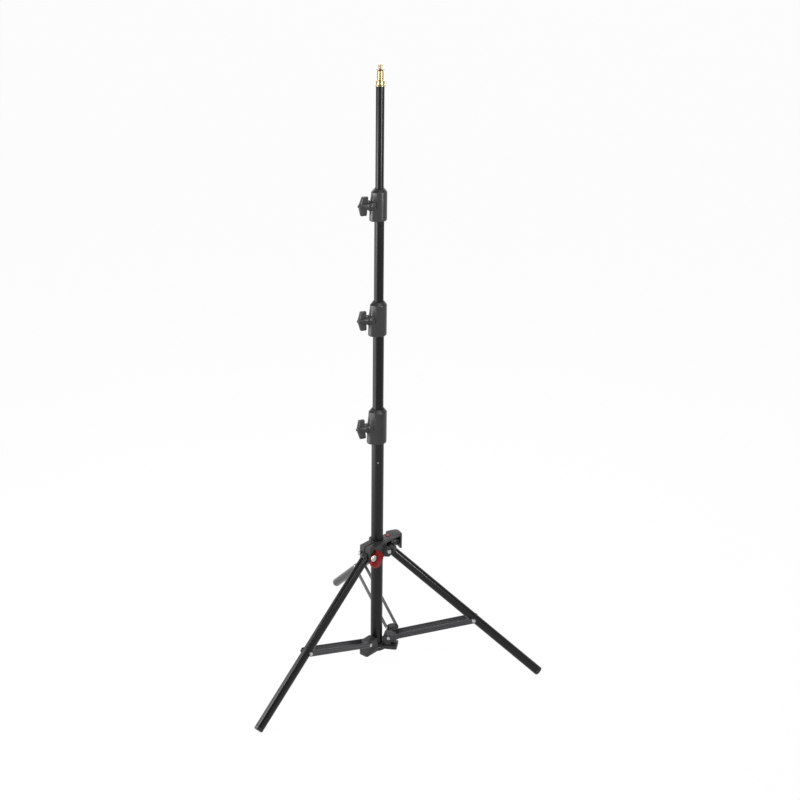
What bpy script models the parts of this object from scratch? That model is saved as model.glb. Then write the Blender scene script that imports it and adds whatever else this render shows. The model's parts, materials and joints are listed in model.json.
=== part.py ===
"""Telescopic light stand: three nested risers with wing-knob collars on a folding tripod.

Metres, +Z up. The origin is on the mast's axis, in the flat underside of the lower hub.
Each leg has a frame of its own: +Y outwards along the leg, +X to its right, +Z up.
"""
import math

import bmesh
import bpy
from mathutils import Matrix, Vector

# ---- fits and segments ----
SEAT_GAP = 0.0003            # between pieces that rest on each other
CUT_PAST = 0.0200            # how far a cutter runs out past the piece it cuts
ROUND_STEPS = 24             # segments of the mast's tubes and collars
SMALL_STEPS = 10             # segments of rivets, screws and pads
LEG_STEPS = 20
KNOB_STEPS = 18

# ---- mast tubes, from the lowest outwards in ----
MAST_OD = 0.0332
TUBE_WALL = 0.0015
TUBE_CLEARANCE = 0.00045     # radial, between one tube and the next
TUBE_SEAT = 0.004            # the base tube's bottom, above the lower hub's underside
RISER_LENGTHS = (0.740, 0.720, 0.700)
PISTON_PLUG = 0.022
PISTON_HEAD = 0.009

# ---- collars: bottom, height and radius of each ----
COLLAR_BOTTOMS = (0.6316, 0.9359, 1.2427)
COLLAR_HEIGHTS = (0.0986, 0.0930, 0.0838)
COLLAR_RADII = (0.0238, 0.0214, 0.0197)
SCREW_SHARES = (0.46, 0.48, 0.49)      # height of the clamp screw, in collar heights
COLLAR_SOCKET = 0.030        # how far a collar reaches down over its own tube
# how far the nose stands out past the round body: at the foot, at the screw, at the shoulder
NOSE_REACHES = (0.0068, 0.0056, 0.0016)
NOSE_LEAST = 0.0004
NOSE_SHARE = 0.62            # the nose's radius, in body radii
SHOULDER_HEIGHT = 0.0082
SHOULDER_EDGE = 0.0012
FOOT_ROUND = 0.0046          # rounding of the bottom edge
RECESS_GAP = 0.0010          # clear ring round the tube at the top
RIM_WIDTH = 0.0008           # of the top edge, round that ring
RECESS_FALL = 0.0045         # depth of the ring, down to the liner
CREASE_TURN = math.radians(85.0)       # of the clamp's split, round from the screw
CREASE_DEPTH = 0.0011
CREASE_WIDTH = 0.0012
CREASE_BEND = 0.0060
CREASE_FOOT = 0.0060
LINER_WALL = 0.0012
KNOB_AZIMUTH = math.radians(-115.0)
RISER_TOP = 1.5807           # top end of the thinnest tube

# ---- wing knobs ----
SCREW_RADIUS = 0.0039
SHOE_RADIUS = 0.0050
SHOE_LENGTH = 0.0026
KNOB_TRAVEL = 0.0019         # how far a knob backs out
BOSS_RADIUS = 0.0140
BOSS_REACH = 0.0095          # past the round body
WELL_DEPTH = 0.0060          # the knob's base stands in a well in the boss
WELL_GAP = 0.0008
BOSS_EDGE = 0.0009
BOSS_DRAFT = 0.0020
BOSS_START = 0.62            # from the mast's axis, in body radii
WASHER_LENGTH = 0.0022
WASHER_INSET = 0.0022
KNOB_BASE_RADIUS = 0.0115
KNOB_TIP_RADIUS = 0.0068
KNOB_LENGTH = 0.0338
WING_SPAN = 0.052
WING_WIDTH = 0.0175
WING_SWEEP = 0.0050          # the wings' ends lie this far behind their root
WING_CORNER = 0.0030
WING_THICKNESS = 0.0066
WING_EDGE = 0.0013
WING_ROOT = 0.0060
PIP_RADIUS = 0.0030
PIP_HEIGHT = 0.0030
PIP_EDGE = 0.0005
KNOB_EDGE = 0.0010
KNOB_SKIRT = 0.0045          # the straight part at the knob's base
WING_TURNS = (math.radians(101.5), math.radians(92.5), math.radians(80.0))
SCREW_IN_KNOB = 0.016

# ---- spigot ----
STUD_RADIUS = 0.0079375      # five eighths of an inch across
STUD_BASE_RADIUS = 0.0108
FLANGE_RADIUS = 0.0140
FLANGE_HEIGHT = 0.0040
STUD_BASE_HEIGHT = 0.0100
STUD_HEIGHT = 0.0250
DISC_RADIUS = 0.0105
DISC_HEIGHT = 0.0020
THREAD_RADIUS = 0.00476      # three eighths of an inch across
THREAD_HEIGHT = 0.0110
SPIGOT_PLUG = 0.035
STUD_EDGE = 0.0009

# ---- tripod ----
LOWER_PIVOT_Z = 0.0349
LEG_LENGTH = 0.5507          # pivot to the end of the foot
LEG_TO_JOINT = 0.3095        # pivot to the brace's joint
JOINT_RISE = 0.08156         # the leg's joint above the lower pivots, standing open
LEG_ANGLE = math.radians(50.96)        # from the vertical, standing open
LEG_OD = 0.0252
LEG_TOP = 0.0140             # tongue from the pivot to the tube's end
LEG_PLUG = 0.028
TONGUE_HALF = 0.0098         # half the tongue's thickness across the leg
TONGUE_INSET = 0.0006        # the tongue is this much slimmer than the tube
TONGUE_SHOULDER = 0.0045
FOOT_LENGTH = 0.0090
FOOT_FILLET = 0.0022
STRIP_HEIGHT = 0.0150
STRIP_THICKNESS = 0.0025
STRIP_SPREAD = 0.0155        # each strip's middle plane from the leg's
RIVET_RADIUS = 0.0029
RIVET_HEAD_RADIUS = 0.0053
RIVET_HEAD = 0.0024

# azimuth from +Y towards +X, then the pivot along and across that direction from the mast
LEGS = {
    "left": (math.radians(-139.0), 0.0518, -0.0078),
    "right": (math.radians(100.0), 0.0365, -0.0052),
    "rear": (math.radians(-23.5), 0.0211, 0.0581),
}

# ---- upper hub, heights from its pivots ----
HUB_RING_RADIUS = 0.0225
HUB_RING_TOP = 0.0304
HUB_BOTTOM = -0.0160
HUB_ROOF = 0.0284
HUB_ROOF_WALL = 0.0052
HUB_BUSH_WALL = 0.0016
HOOD_HALF_WIDTH = 0.0202
HOOD_EDGE = 0.0018
HOOD_WALL = 0.0032
POCKET_CLEARANCE = 0.0009    # between a leg and its pocket's sides
POCKET_BACK = 0.0010
CLAMP_SLIT = 0.0018
# each hood from its pivot: how far back it starts, how far out it ends, and the radius of
# its outer corners seen from above
HOODS = {
    "left": (-0.0500, 0.0080, 0.0045),
    "right": (-0.0340, 0.0060, 0.0030),
    "rear": (-0.0180, 0.0150, 0.0110),
}
EAR_TOP = 0.0145             # of the right hood outside the roof's slanting edge
EAR_CORNER = 0.0105
ROOF_LIP = 0.0006            # the roof lies a little inside the hoods' faces
REAR_OPENING = 0.0040        # how far the rear hood's pocket runs out past its inner end
HUB_RIVET_HEAD_RADIUS = 0.0059
RECESS_CLEARANCE = 0.0009
RECESS_DEPTH = 0.0042
BOLT_RADIUS = 0.0040
BOLT_HEAD_RADIUS = 0.0102
BOLT_HEAD = 0.0042
NUT_RADIUS = 0.0074
NUT_HEIGHT = 0.0055
LEVER_HUB = 0.0044           # thickness under the bolt's head
LEVER_THICKNESS = 0.0095
LEVER_RADIUS = 0.0235
LEVER_INWARD = 0.0120        # centre of the lever's round outline, from the bolt
LEVER_DOWN = 0.0080
LEVER_WELL = 0.0016          # clear width round the bolt's head
LEVER_NECK = 0.0096          # radius round the bolt on the leg's side
LEVER_TAB = 0.0050
LEVER_TAB_WIDTH = 0.0040
LEVER_EDGE = 0.0009
BUTTON_RADIUS = 0.0064
BUTTON_RIM = 0.0012
BUTTON_HEIGHT = 0.0030        # flush when pressed
BUTTON_SKIRT = 0.0090
BUTTON_CROWN = 0.0006
BUTTON_SILL = 0.0015         # the rim lies this far down its well
BUTTON_TRAVEL = 0.0030
BUTTON_X = 0.0293
BUTTON_Y = 0.0226
BUTTON_BLOCK = 0.0125

# ---- lower hub ----
PLATE_HEIGHT = 0.0120
PLATE_RADIUS = 0.0300
PLATE_EDGE = 0.0012
HUB_LIP = 0.0006             # the arms lie a little inside the round plate's faces
CUP_RADIUS = 0.0215
CUP_TOP = 0.0150
LUG_HALF_WIDTH = 0.0139
LUG_TOP = 0.0085             # above the lower pivots
LUG_CORNER = 0.0055
LUG_FOOT_BACK = 0.0040       # the plate runs past each lug, behind and in front
LUG_FOOT_OUT = 0.0020
LUG_SINK = 0.0010            # the lugs start a little inside the plate
LUG_EDGE = 0.0012
REAR_LUG_CORNER = 0.0100
REAR_LUG_HOLE = 0.0035       # blind round recess that faces the mast
REAR_LUG_DEPTH = 0.0045
# each lug from its pivot: how far back it starts, how far out it ends, the foot's half width
LUGS = {
    "left": (-0.0330, 0.0120, 0.0148),
    "right": (-0.0160, 0.0220, 0.0190),
    "rear": (-0.0100, 0.0090, 0.0165),
}
LUG_UNDERCUT = 0.0220        # underside of the right lug's outer end
UNDERCUT_START = 0.0060
WEB_HALF = 0.0150            # half the width of the web out to the rear lug

COLLAR_AZIMUTH_FRAME = Matrix.Rotation(-KNOB_AZIMUTH, 4, "Z")
MAST_RADIUS = MAST_OD / 2
TUBE_STEP = TUBE_WALL + TUBE_CLEARANCE
TUBE_RADII = tuple(MAST_RADIUS - i * TUBE_STEP for i in range(4))
LEG_RADIUS = LEG_OD / 2
JOINT_OUT = LEG_TO_JOINT * math.sin(LEG_ANGLE)
BRACE_LENGTH = math.hypot(JOINT_OUT, JOINT_RISE)
BRACE_ANGLE = math.atan2(JOINT_OUT, JOINT_RISE)
UPPER_PIVOT_Z = LOWER_PIVOT_Z + LEG_TO_JOINT * math.cos(LEG_ANGLE) + JOINT_RISE
POCKET_HALF = LEG_RADIUS + POCKET_CLEARANCE


def clear_scene():
    for obj in list(bpy.data.objects):
        bpy.data.objects.remove(obj, do_unlink=True)


def make_collection(name):
    collection = bpy.data.collections.new(name)
    bpy.context.scene.collection.children.link(collection)
    return collection


def make_material(name, colour, roughness, metallic):
    material = bpy.data.materials.new(name)
    material.use_nodes = True
    shader = material.node_tree.nodes["Principled BSDF"]
    shader.inputs["Base Color"].default_value = (*colour, 1.0)
    shader.inputs["Roughness"].default_value = roughness
    shader.inputs["Metallic"].default_value = metallic
    return material


class Palette:
    """The finishes, shared by the pieces."""

    def __init__(self):
        self.tube = make_material("black_anodised", (0.022, 0.022, 0.025), 0.30, 0.7)
        self.cast = make_material("black_moulding", (0.040, 0.040, 0.045), 0.50, 0.0)
        self.strip = make_material("black_strip", (0.045, 0.045, 0.050), 0.45, 0.5)
        self.nylon = make_material("dark_nylon", (0.020, 0.020, 0.022), 0.55, 0.0)
        self.steel = make_material("bright_steel", (0.72, 0.72, 0.74), 0.22, 1.0)
        self.brass = make_material("brass", (0.78, 0.62, 0.34), 0.28, 1.0)
        self.red = make_material("red_moulding", (0.52, 0.03, 0.04), 0.38, 0.0)


def add_object(name, mesh, material=None, frame=Matrix(), guide=False):
    """Link a mesh as a named piece, or as a guide that only shapes other pieces."""
    obj = bpy.data.objects.new(name, mesh)
    (GUIDES if guide else PARTS).objects.link(obj)
    if material:
        mesh.materials.append(material)
    if guide:
        obj.hide_render = True
        obj.display_type = "WIRE"
    obj.matrix_world = frame
    return obj


def smooth_by_angle(mesh):
    mesh.shade_smooth()
    mesh.set_sharp_from_angle(angle=math.radians(38.0))


def turned(name, profile, material=None, frame=Matrix(), steps=ROUND_STEPS, closed=False,
           guide=False):
    """A profile of (radius, height) points, outer side downwards, turned about Z."""
    mesh = bpy.data.meshes.new(name)
    points = [(radius, 0.0, height) for radius, height in profile]
    edges = [(i, i + 1) for i in range(len(points) - 1)]
    if closed:
        edges.append((len(points) - 1, 0))
    mesh.from_pydata(points, edges, [])
    obj = add_object(name, mesh, material, frame, guide)
    screw = obj.modifiers.new("Turn", "SCREW")
    screw.steps = steps
    screw.render_steps = steps
    screw.use_merge_vertices = True
    screw.merge_threshold = 0.00001
    screw.use_smooth_shade = True
    return obj


def tube(name, outer, inner, bottom, top, material=None, frame=Matrix(), steps=ROUND_STEPS,
         guide=False):
    profile = [(inner, top), (outer, top), (outer, bottom), (inner, bottom)]
    return turned(name, profile, material, frame, steps, True, guide)


def rod(name, radius, bottom, top, material=None, frame=Matrix(), steps=SMALL_STEPS,
        guide=False):
    profile = [(0.0, top), (radius, top), (radius, bottom), (0.0, bottom)]
    return turned(name, profile, material, frame, steps, False, guide)


def box(name, low, high, frame=Matrix(), material=None, guide=True):
    size = Vector(high) - Vector(low)
    middle = (Vector(high) + Vector(low)) / 2
    mesh = bpy.data.meshes.new(name)
    solid = bmesh.new()
    placed = Matrix.Translation(middle) @ Matrix.Diagonal((*size, 1.0))
    bmesh.ops.create_cube(solid, size=1.0, matrix=placed)
    solid.to_mesh(mesh)
    solid.free()
    return add_object(name, mesh, material, frame, guide)


def arc(centre, radius, start, end, count):
    """Points from one angle to another, both ends included."""
    angles = (start + (end - start) * i / count for i in range(count + 1))
    return [(centre[0] + radius * math.cos(a), centre[1] + radius * math.sin(a))
            for a in angles]


def rounded_rectangle(low, high, radii, count=2):
    """Corners anticlockwise from the lower left, each with a radius of its own."""
    corners = ((low[0], low[1], 1, 1, 180), (high[0], low[1], -1, 1, 270),
               (high[0], high[1], -1, -1, 0), (low[0], high[1], 1, -1, 90))
    points = []
    for (x, y, inward_x, inward_y, start), radius in zip(corners, radii):
        centre = (x + inward_x * radius, y + inward_y * radius)
        begin = math.radians(start)
        points += arc(centre, radius, begin, begin + math.pi / 2, count)
    return points


def slot_outline(length, radius, count=6):
    """A strip with round ends, from the origin up to the length."""
    top = arc((0.0, length), radius, 0.0, math.pi, count)
    bottom = arc((0.0, 0.0), radius, math.pi, 2 * math.pi, count)
    return top + bottom


def round_hole(x, y, radius, count=SMALL_STEPS):
    return arc((x, y), radius, 0.0, -2 * math.pi * (count - 1) / count, count - 1)


def slab(name, outlines, bottom, top, material=None, frame=Matrix(), edge=0.0, guide=False):
    """A flat outline, with any holes after it, between two heights."""
    curve = bpy.data.curves.new(name, "CURVE")
    curve.dimensions = "2D"
    curve.fill_mode = "BOTH"
    curve.extrude = (top - bottom) / 2
    for outline in outlines:
        spline = curve.splines.new("POLY")
        spline.points.add(len(outline) - 1)
        for point, (x, y) in zip(spline.points, outline):
            point.co = (x, y, 0.0, 1.0)
        spline.use_cyclic_u = True
    source = bpy.data.objects.new(name + "_outline", curve)
    GUIDES.objects.link(source)
    source.matrix_world = frame @ Matrix.Translation((0.0, 0.0, (top + bottom) / 2))
    bpy.context.view_layer.update()
    mesh = bpy.data.meshes.new_from_object(source.evaluated_get(
        bpy.context.evaluated_depsgraph_get()))
    mesh.name = name
    solid = bmesh.new()
    solid.from_mesh(mesh)
    bmesh.ops.remove_doubles(solid, verts=solid.verts, dist=0.00001)
    bmesh.ops.recalc_face_normals(solid, faces=solid.faces)
    solid.to_mesh(mesh)
    solid.free()
    mesh.materials.clear()
    obj = add_object(name, mesh, material, source.matrix_world.copy(), guide)
    bpy.data.objects.remove(source, do_unlink=True)
    if edge:
        add_bevel(obj, edge)
    return obj


def add_bevel(obj, width, segments=1, angle=50.0):
    bevel = obj.modifiers.new("Edges", "BEVEL")
    bevel.width = width
    bevel.segments = segments
    bevel.limit_method = "ANGLE"
    bevel.angle_limit = math.radians(angle)
    bevel.harden_normals = False


def combine(target, tools, operation="DIFFERENCE"):
    for tool in tools:
        boolean = target.modifiers.new(operation.title(), "BOOLEAN")
        boolean.operation = operation
        boolean.object = tool
    return target


def loft(name, sections, material=None, frame=Matrix(), guide=False):
    """Closed rings of equally many points, from the bottom up, with flat ends."""
    mesh = bpy.data.meshes.new(name)
    solid = bmesh.new()
    rings = [[solid.verts.new(point) for point in section] for section in sections]
    count = len(rings[0])
    for lower, upper in zip(rings, rings[1:]):
        for i in range(count):
            j = (i + 1) % count
            solid.faces.new((lower[i], lower[j], upper[j], upper[i]))
    solid.faces.new(list(reversed(rings[0])))
    solid.faces.new(rings[-1])
    bmesh.ops.recalc_face_normals(solid, faces=solid.faces)
    solid.to_mesh(mesh)
    solid.free()
    smooth_by_angle(mesh)
    return add_object(name, mesh, material, frame, guide)


def leg_frame(name, height):
    """The leg's own frame at one of its pivots."""
    azimuth, along, across = LEGS[name]
    turn = Matrix.Rotation(-azimuth, 4, "Z")
    return Matrix.Translation((0.0, 0.0, height)) @ turn @ Matrix.Translation(
        (across, along, 0.0))


def across_axis(frame, along=0.0, up=0.0):
    """Turn a piece that stands along Z so that it lies across the leg, along its +X."""
    place = Matrix.Translation((0.0, along, up))
    return frame @ place @ Matrix.Rotation(math.pi / 2, 4, "Y")


def side_view(frame):
    """Stand an outline up in the leg's plane: its x runs outwards and its y upwards."""
    return frame @ Matrix.Rotation(math.pi / 2, 4, "Z") @ Matrix.Rotation(
        math.pi / 2, 4, "X")


def swung(frame, angle):
    """Tip a frame's +Z from the vertical outwards, towards its +Y."""
    return frame @ Matrix.Rotation(-angle, 4, "X")


def egg_section(body, nose, reach, height):
    """A round body and a smaller round nose on +Y, with tangents between them."""
    distance = reach - nose
    lean = math.acos((body - nose) / distance)
    half = math.pi / 2
    nose_arc = arc((0.0, distance), nose, half - lean, half + lean, 6)
    body_arc = arc((0.0, 0.0), body, half + lean, 2 * math.pi + half - lean, 16)
    return [(x, y, height) for x, y in nose_arc + body_arc]


# ---- mast ----

def collar(name, index, material):
    """A moulded clamp collar: egg-shaped body, sloped shoulder and a boss for the screw."""
    radius = COLLAR_RADII[index]
    height = COLLAR_HEIGHTS[index]
    frame = Matrix.Translation((0.0, 0.0, COLLAR_BOTTOMS[index])) @ COLLAR_AZIMUTH_FRAME
    foot, middle, head = NOSE_REACHES
    screw_height = height * SCREW_SHARES[index]
    shoulder = height - SHOULDER_HEIGHT
    recess = TUBE_RADII[index + 1] + RECESS_GAP
    drawn_top = radius - recess - RIM_WIDTH
    # each section: how far it is drawn in, how far the nose stands out, and its height
    stations = [(FOOT_ROUND, foot, 0.0), (FOOT_ROUND * 0.5, foot, FOOT_ROUND * 0.13),
                (FOOT_ROUND * 0.13, foot, FOOT_ROUND * 0.5), (0.0, foot, FOOT_ROUND),
                (0.0, middle, screw_height), (0.0, head, shoulder - SHOULDER_EDGE),
                (SHOULDER_EDGE * 0.4, head, shoulder), (drawn_top, 0.0, height)]
    sections = [egg_section(radius - drawn, (radius - drawn) * NOSE_SHARE,
                            radius + reach + NOSE_LEAST - drawn, level)
                for drawn, reach, level in stations]
    body = loft(name, sections, material, frame)
    to_screw = Matrix.Translation((0.0, 0.0, screw_height)) @ Matrix.Rotation(
        -math.pi / 2, 4, "X")
    boss = turned(name + "_boss", [
        (0.0, radius + BOSS_REACH),
        (BOSS_RADIUS - BOSS_EDGE, radius + BOSS_REACH),
        (BOSS_RADIUS, radius + BOSS_REACH - BOSS_EDGE),
        (BOSS_RADIUS + BOSS_DRAFT, radius * BOSS_START),
        (0.0, radius * BOSS_START)], frame=frame @ to_screw, steps=KNOB_STEPS, guide=True)
    bore = liner_outer(index) + SEAT_GAP
    socket = tube_radius(index) + SEAT_GAP
    cutters = [
        rod(name + "_socket", socket, -CUT_PAST, COLLAR_SOCKET, frame=frame,
            steps=ROUND_STEPS, guide=True),
        rod(name + "_bore", bore, COLLAR_SOCKET - LINER_WALL, height - RECESS_FALL,
            frame=frame, steps=ROUND_STEPS, guide=True),
        rod(name + "_recess", recess, height - SHOULDER_HEIGHT, height + CUT_PAST,
            frame=frame, steps=ROUND_STEPS, guide=True),
        rod(name + "_well", KNOB_BASE_RADIUS + WELL_GAP, well_bottom(index),
            radius + BOSS_REACH + CUT_PAST, frame=frame @ to_screw, steps=KNOB_STEPS,
            guide=True),
        rod(name + "_thread", SCREW_RADIUS + SEAT_GAP, 0.0, radius + CUT_PAST,
            frame=frame @ to_screw, guide=True),
        rod(name + "_shoe_well", SHOE_RADIUS + SEAT_GAP, 0.0,
            shoe_outer(index) + KNOB_TRAVEL + SEAT_GAP, frame=frame @ to_screw, guide=True),
    ]
    crease = slab(name + "_crease", [crease_outline(height)], radius - CREASE_DEPTH,
                  radius + BOSS_REACH, frame=frame @ Matrix.Rotation(CREASE_TURN, 4, "Z")
                  @ Matrix.Rotation(-math.pi / 2, 4, "X"), guide=True)
    combine(body, [boss], "UNION")
    combine(body, cutters + [crease])
    return body


def crease_outline(height):
    """The clamp's split: straight up from the bottom, then bending away towards the top."""
    # in the crease's own frame +X runs round the collar and -Y up it
    spine = [(0.0, CREASE_FOOT), (0.0, height * 0.55), (-CREASE_BEND * 0.35, height * 0.68),
             (-CREASE_BEND, height * 0.80), (-CREASE_BEND * 1.35, height * 0.86)]
    half = CREASE_WIDTH / 2
    near = [(x + half, -y) for x, y in spine]
    far = [(x - half, -y) for x, y in reversed(spine)]
    return near + far


def tube_radius(index):
    return TUBE_RADII[index]


def liner_outer(index):
    return TUBE_RADII[index + 1] + SEAT_GAP + LINER_WALL


def well_bottom(index):
    """Seat of the knob's washer inside the boss, from the mast's axis."""
    return COLLAR_RADII[index] + BOSS_REACH - WELL_DEPTH


def shoe_outer(index):
    """Outer end of the pressure shoe, from the mast's axis."""
    return TUBE_RADII[index + 1] + SEAT_GAP + SHOE_LENGTH


def collar_liner(name, index, material):
    """A sleeve that fills the collar's bore round the next tube, up into its recess."""
    frame = Matrix.Translation((0.0, 0.0, COLLAR_BOTTOMS[index])) @ COLLAR_AZIMUTH_FRAME
    inner = TUBE_RADII[index + 1] + SEAT_GAP
    outer = liner_outer(index)
    top = COLLAR_HEIGHTS[index] - RECESS_FALL - SEAT_GAP
    bottom = COLLAR_SOCKET + SEAT_GAP
    profile = [(inner, top), (outer, top), (outer, bottom), (inner, bottom)]
    sleeve = turned(name, profile, material, frame, closed=True)
    screw_height = COLLAR_HEIGHTS[index] * SCREW_SHARES[index]
    to_screw = Matrix.Translation((0.0, 0.0, screw_height)) @ Matrix.Rotation(
        -math.pi / 2, 4, "X")
    window = rod(name + "_window", SHOE_RADIUS + SEAT_GAP, 0.0, outer + CUT_PAST,
                 frame=frame @ to_screw, guide=True)
    return combine(sleeve, [window])


def knob_frame(index):
    """Z runs outwards along the clamp screw, from the mast's axis."""
    height = COLLAR_BOTTOMS[index] + COLLAR_HEIGHTS[index] * SCREW_SHARES[index]
    place = Matrix.Translation((0.0, 0.0, height)) @ COLLAR_AZIMUTH_FRAME
    return place @ Matrix.Rotation(-math.pi / 2, 4, "X")


def wing_knob(name, index, palette):
    """The knob, its screw, its washer and the shoe that presses on the tube."""
    seat = well_bottom(index) + SEAT_GAP
    base = seat + WASHER_LENGTH + SEAT_GAP
    frame = knob_frame(index)
    tip = base + KNOB_LENGTH
    shoulder = tip - PIP_HEIGHT
    hub = turned(name, [
        (0.0, tip), (PIP_RADIUS - PIP_EDGE, tip), (PIP_RADIUS, shoulder),
        (KNOB_TIP_RADIUS - KNOB_EDGE, shoulder), (KNOB_TIP_RADIUS, shoulder - KNOB_EDGE * 2),
        (KNOB_BASE_RADIUS - KNOB_EDGE, base + KNOB_SKIRT * 1.5),
        (KNOB_BASE_RADIUS, base + KNOB_SKIRT), (KNOB_BASE_RADIUS, base), (0.0, base)],
        palette.cast, frame, steps=KNOB_STEPS)
    wing_high = shoulder - PIP_EDGE - WING_SWEEP
    wing_low = wing_high - WING_WIDTH
    reach = WING_SPAN / 2 - WING_CORNER
    half = math.pi / 2
    top = wing_high - WING_CORNER
    bottom = wing_low + WING_CORNER
    root = wing_high + WING_SWEEP
    outline = (arc((reach, bottom), WING_CORNER, -half, 0.0, 3)
               + arc((reach, top), WING_CORNER, 0.0, half, 3)
               + [(WING_ROOT, root), (-WING_ROOT, root)]
               + arc((-reach, top), WING_CORNER, half, 2 * half, 3)
               + arc((-reach, bottom), WING_CORNER, 2 * half, 3 * half, 3))
    turn = Matrix.Rotation(WING_TURNS[index], 4, "Z")
    stand_up = Matrix.Rotation(half, 4, "X")
    wings = slab(name + "_wings", [outline], -WING_THICKNESS / 2, WING_THICKNESS / 2,
                 frame=frame @ turn @ stand_up, edge=WING_EDGE, guide=True)
    screw_end = base + SCREW_IN_KNOB
    socket = rod(name + "_socket", SCREW_RADIUS + SEAT_GAP, base - CUT_PAST,
                 screw_end + SEAT_GAP, frame=frame, guide=True)
    combine(hub, [wings], "UNION")
    combine(hub, [socket])
    shoe_end = shoe_outer(index)
    rod(name + "_screw", SCREW_RADIUS, shoe_end + SEAT_GAP, screw_end, palette.steel, frame)
    shoe_start = TUBE_RADII[index + 1] + SEAT_GAP
    rod(name + "_shoe", SHOE_RADIUS, shoe_start, shoe_end, palette.nylon, frame)
    tube(name + "_washer", KNOB_BASE_RADIUS - WASHER_INSET, SCREW_RADIUS + SEAT_GAP,
         seat, seat + WASHER_LENGTH, palette.nylon, frame, steps=KNOB_STEPS)


def riser(name, index, top, material, nylon):
    """A telescoping tube with the guide piston that closes its bottom end."""
    radius = TUBE_RADII[index]
    bottom = top - RISER_LENGTHS[index - 1]
    tube(name, radius, radius - TUBE_WALL, bottom, top, material)
    outer_bore = TUBE_RADII[index - 1] - TUBE_WALL
    head = outer_bore - SEAT_GAP
    plug = radius - TUBE_WALL - SEAT_GAP
    end = bottom - SEAT_GAP
    turned(name + "_piston", [
        (0.0, end + PISTON_PLUG), (plug, end + PISTON_PLUG), (plug, end), (head, end),
        (head, end - PISTON_HEAD), (0.0, end - PISTON_HEAD)], nylon)


def spigot(palette):
    """Brass stud: plug in the tube, flange, base, stud and threaded tip."""
    plug = TUBE_RADII[3] - TUBE_WALL - SEAT_GAP
    flange_bottom = RISER_TOP + SEAT_GAP
    flange_top = flange_bottom + FLANGE_HEIGHT
    base_top = flange_top + STUD_BASE_HEIGHT
    stud_top = base_top + STUD_HEIGHT
    thread_top = stud_top + SEAT_GAP + DISC_HEIGHT + THREAD_HEIGHT
    turned("spigot", [
        (0.0, thread_top), (THREAD_RADIUS - STUD_EDGE, thread_top),
        (THREAD_RADIUS, thread_top - STUD_EDGE), (THREAD_RADIUS, stud_top),
        (STUD_RADIUS - STUD_EDGE, stud_top), (STUD_RADIUS, stud_top - STUD_EDGE),
        (STUD_RADIUS, base_top), (STUD_BASE_RADIUS - STUD_EDGE, base_top),
        (STUD_BASE_RADIUS, base_top - STUD_EDGE), (STUD_BASE_RADIUS, flange_top),
        (FLANGE_RADIUS - STUD_EDGE, flange_top), (FLANGE_RADIUS, flange_top - STUD_EDGE),
        (FLANGE_RADIUS, flange_bottom), (plug, flange_bottom),
        (plug, flange_bottom - SPIGOT_PLUG), (0.0, flange_bottom - SPIGOT_PLUG)],
        palette.brass, steps=LEG_STEPS)
    tube("spigot_disc", DISC_RADIUS, THREAD_RADIUS + SEAT_GAP, stud_top + SEAT_GAP,
         stud_top + SEAT_GAP + DISC_HEIGHT, palette.brass, steps=LEG_STEPS)


def mast(palette):
    seat = TUBE_SEAT + SEAT_GAP
    tube_tops = [bottom + COLLAR_SOCKET - SEAT_GAP for bottom in COLLAR_BOTTOMS] + [RISER_TOP]
    tube("base_tube", TUBE_RADII[0], TUBE_RADII[0] - TUBE_WALL, seat, tube_tops[0],
         palette.tube)
    for index, label in enumerate(("lower", "middle", "upper")):
        collar(label + "_collar", index, palette.cast)
        collar_liner(label + "_collar_liner", index, palette.nylon)
        wing_knob(label + "_knob", index, palette)
    for index, label in ((1, "lower_riser"), (2, "middle_riser"), (3, "top_riser")):
        riser(label, index, tube_tops[index], palette.tube, palette.nylon)
    spigot(palette)


# ---- tripod ----

def rivet_profile(shank, inside, outside, head_radius=RIVET_HEAD_RADIUS, head=RIVET_HEAD):
    """A domed head on a shank, drawn with the head at the top."""
    dome = [(head_radius * math.sin(math.radians(a)),
             outside + head * math.cos(math.radians(a))) for a in (0, 55)]
    return dome + [(head_radius, outside), (shank, outside), (shank, inside), (0.0, inside)]


def flipped(frame):
    return frame @ Matrix.Rotation(math.pi, 4, "X")


def through_rivet(name, half, material, frame, head_radius=RIVET_HEAD_RADIUS,
                  shank=RIVET_RADIUS):
    """One rivet across a joint, with a domed head at either end."""
    upper = rivet_profile(shank, 0.0, half, head_radius)[:-2]
    lower = [(radius, -height) for radius, height in reversed(upper)]
    return turned(name, upper + lower, material, frame, SMALL_STEPS)


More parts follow.
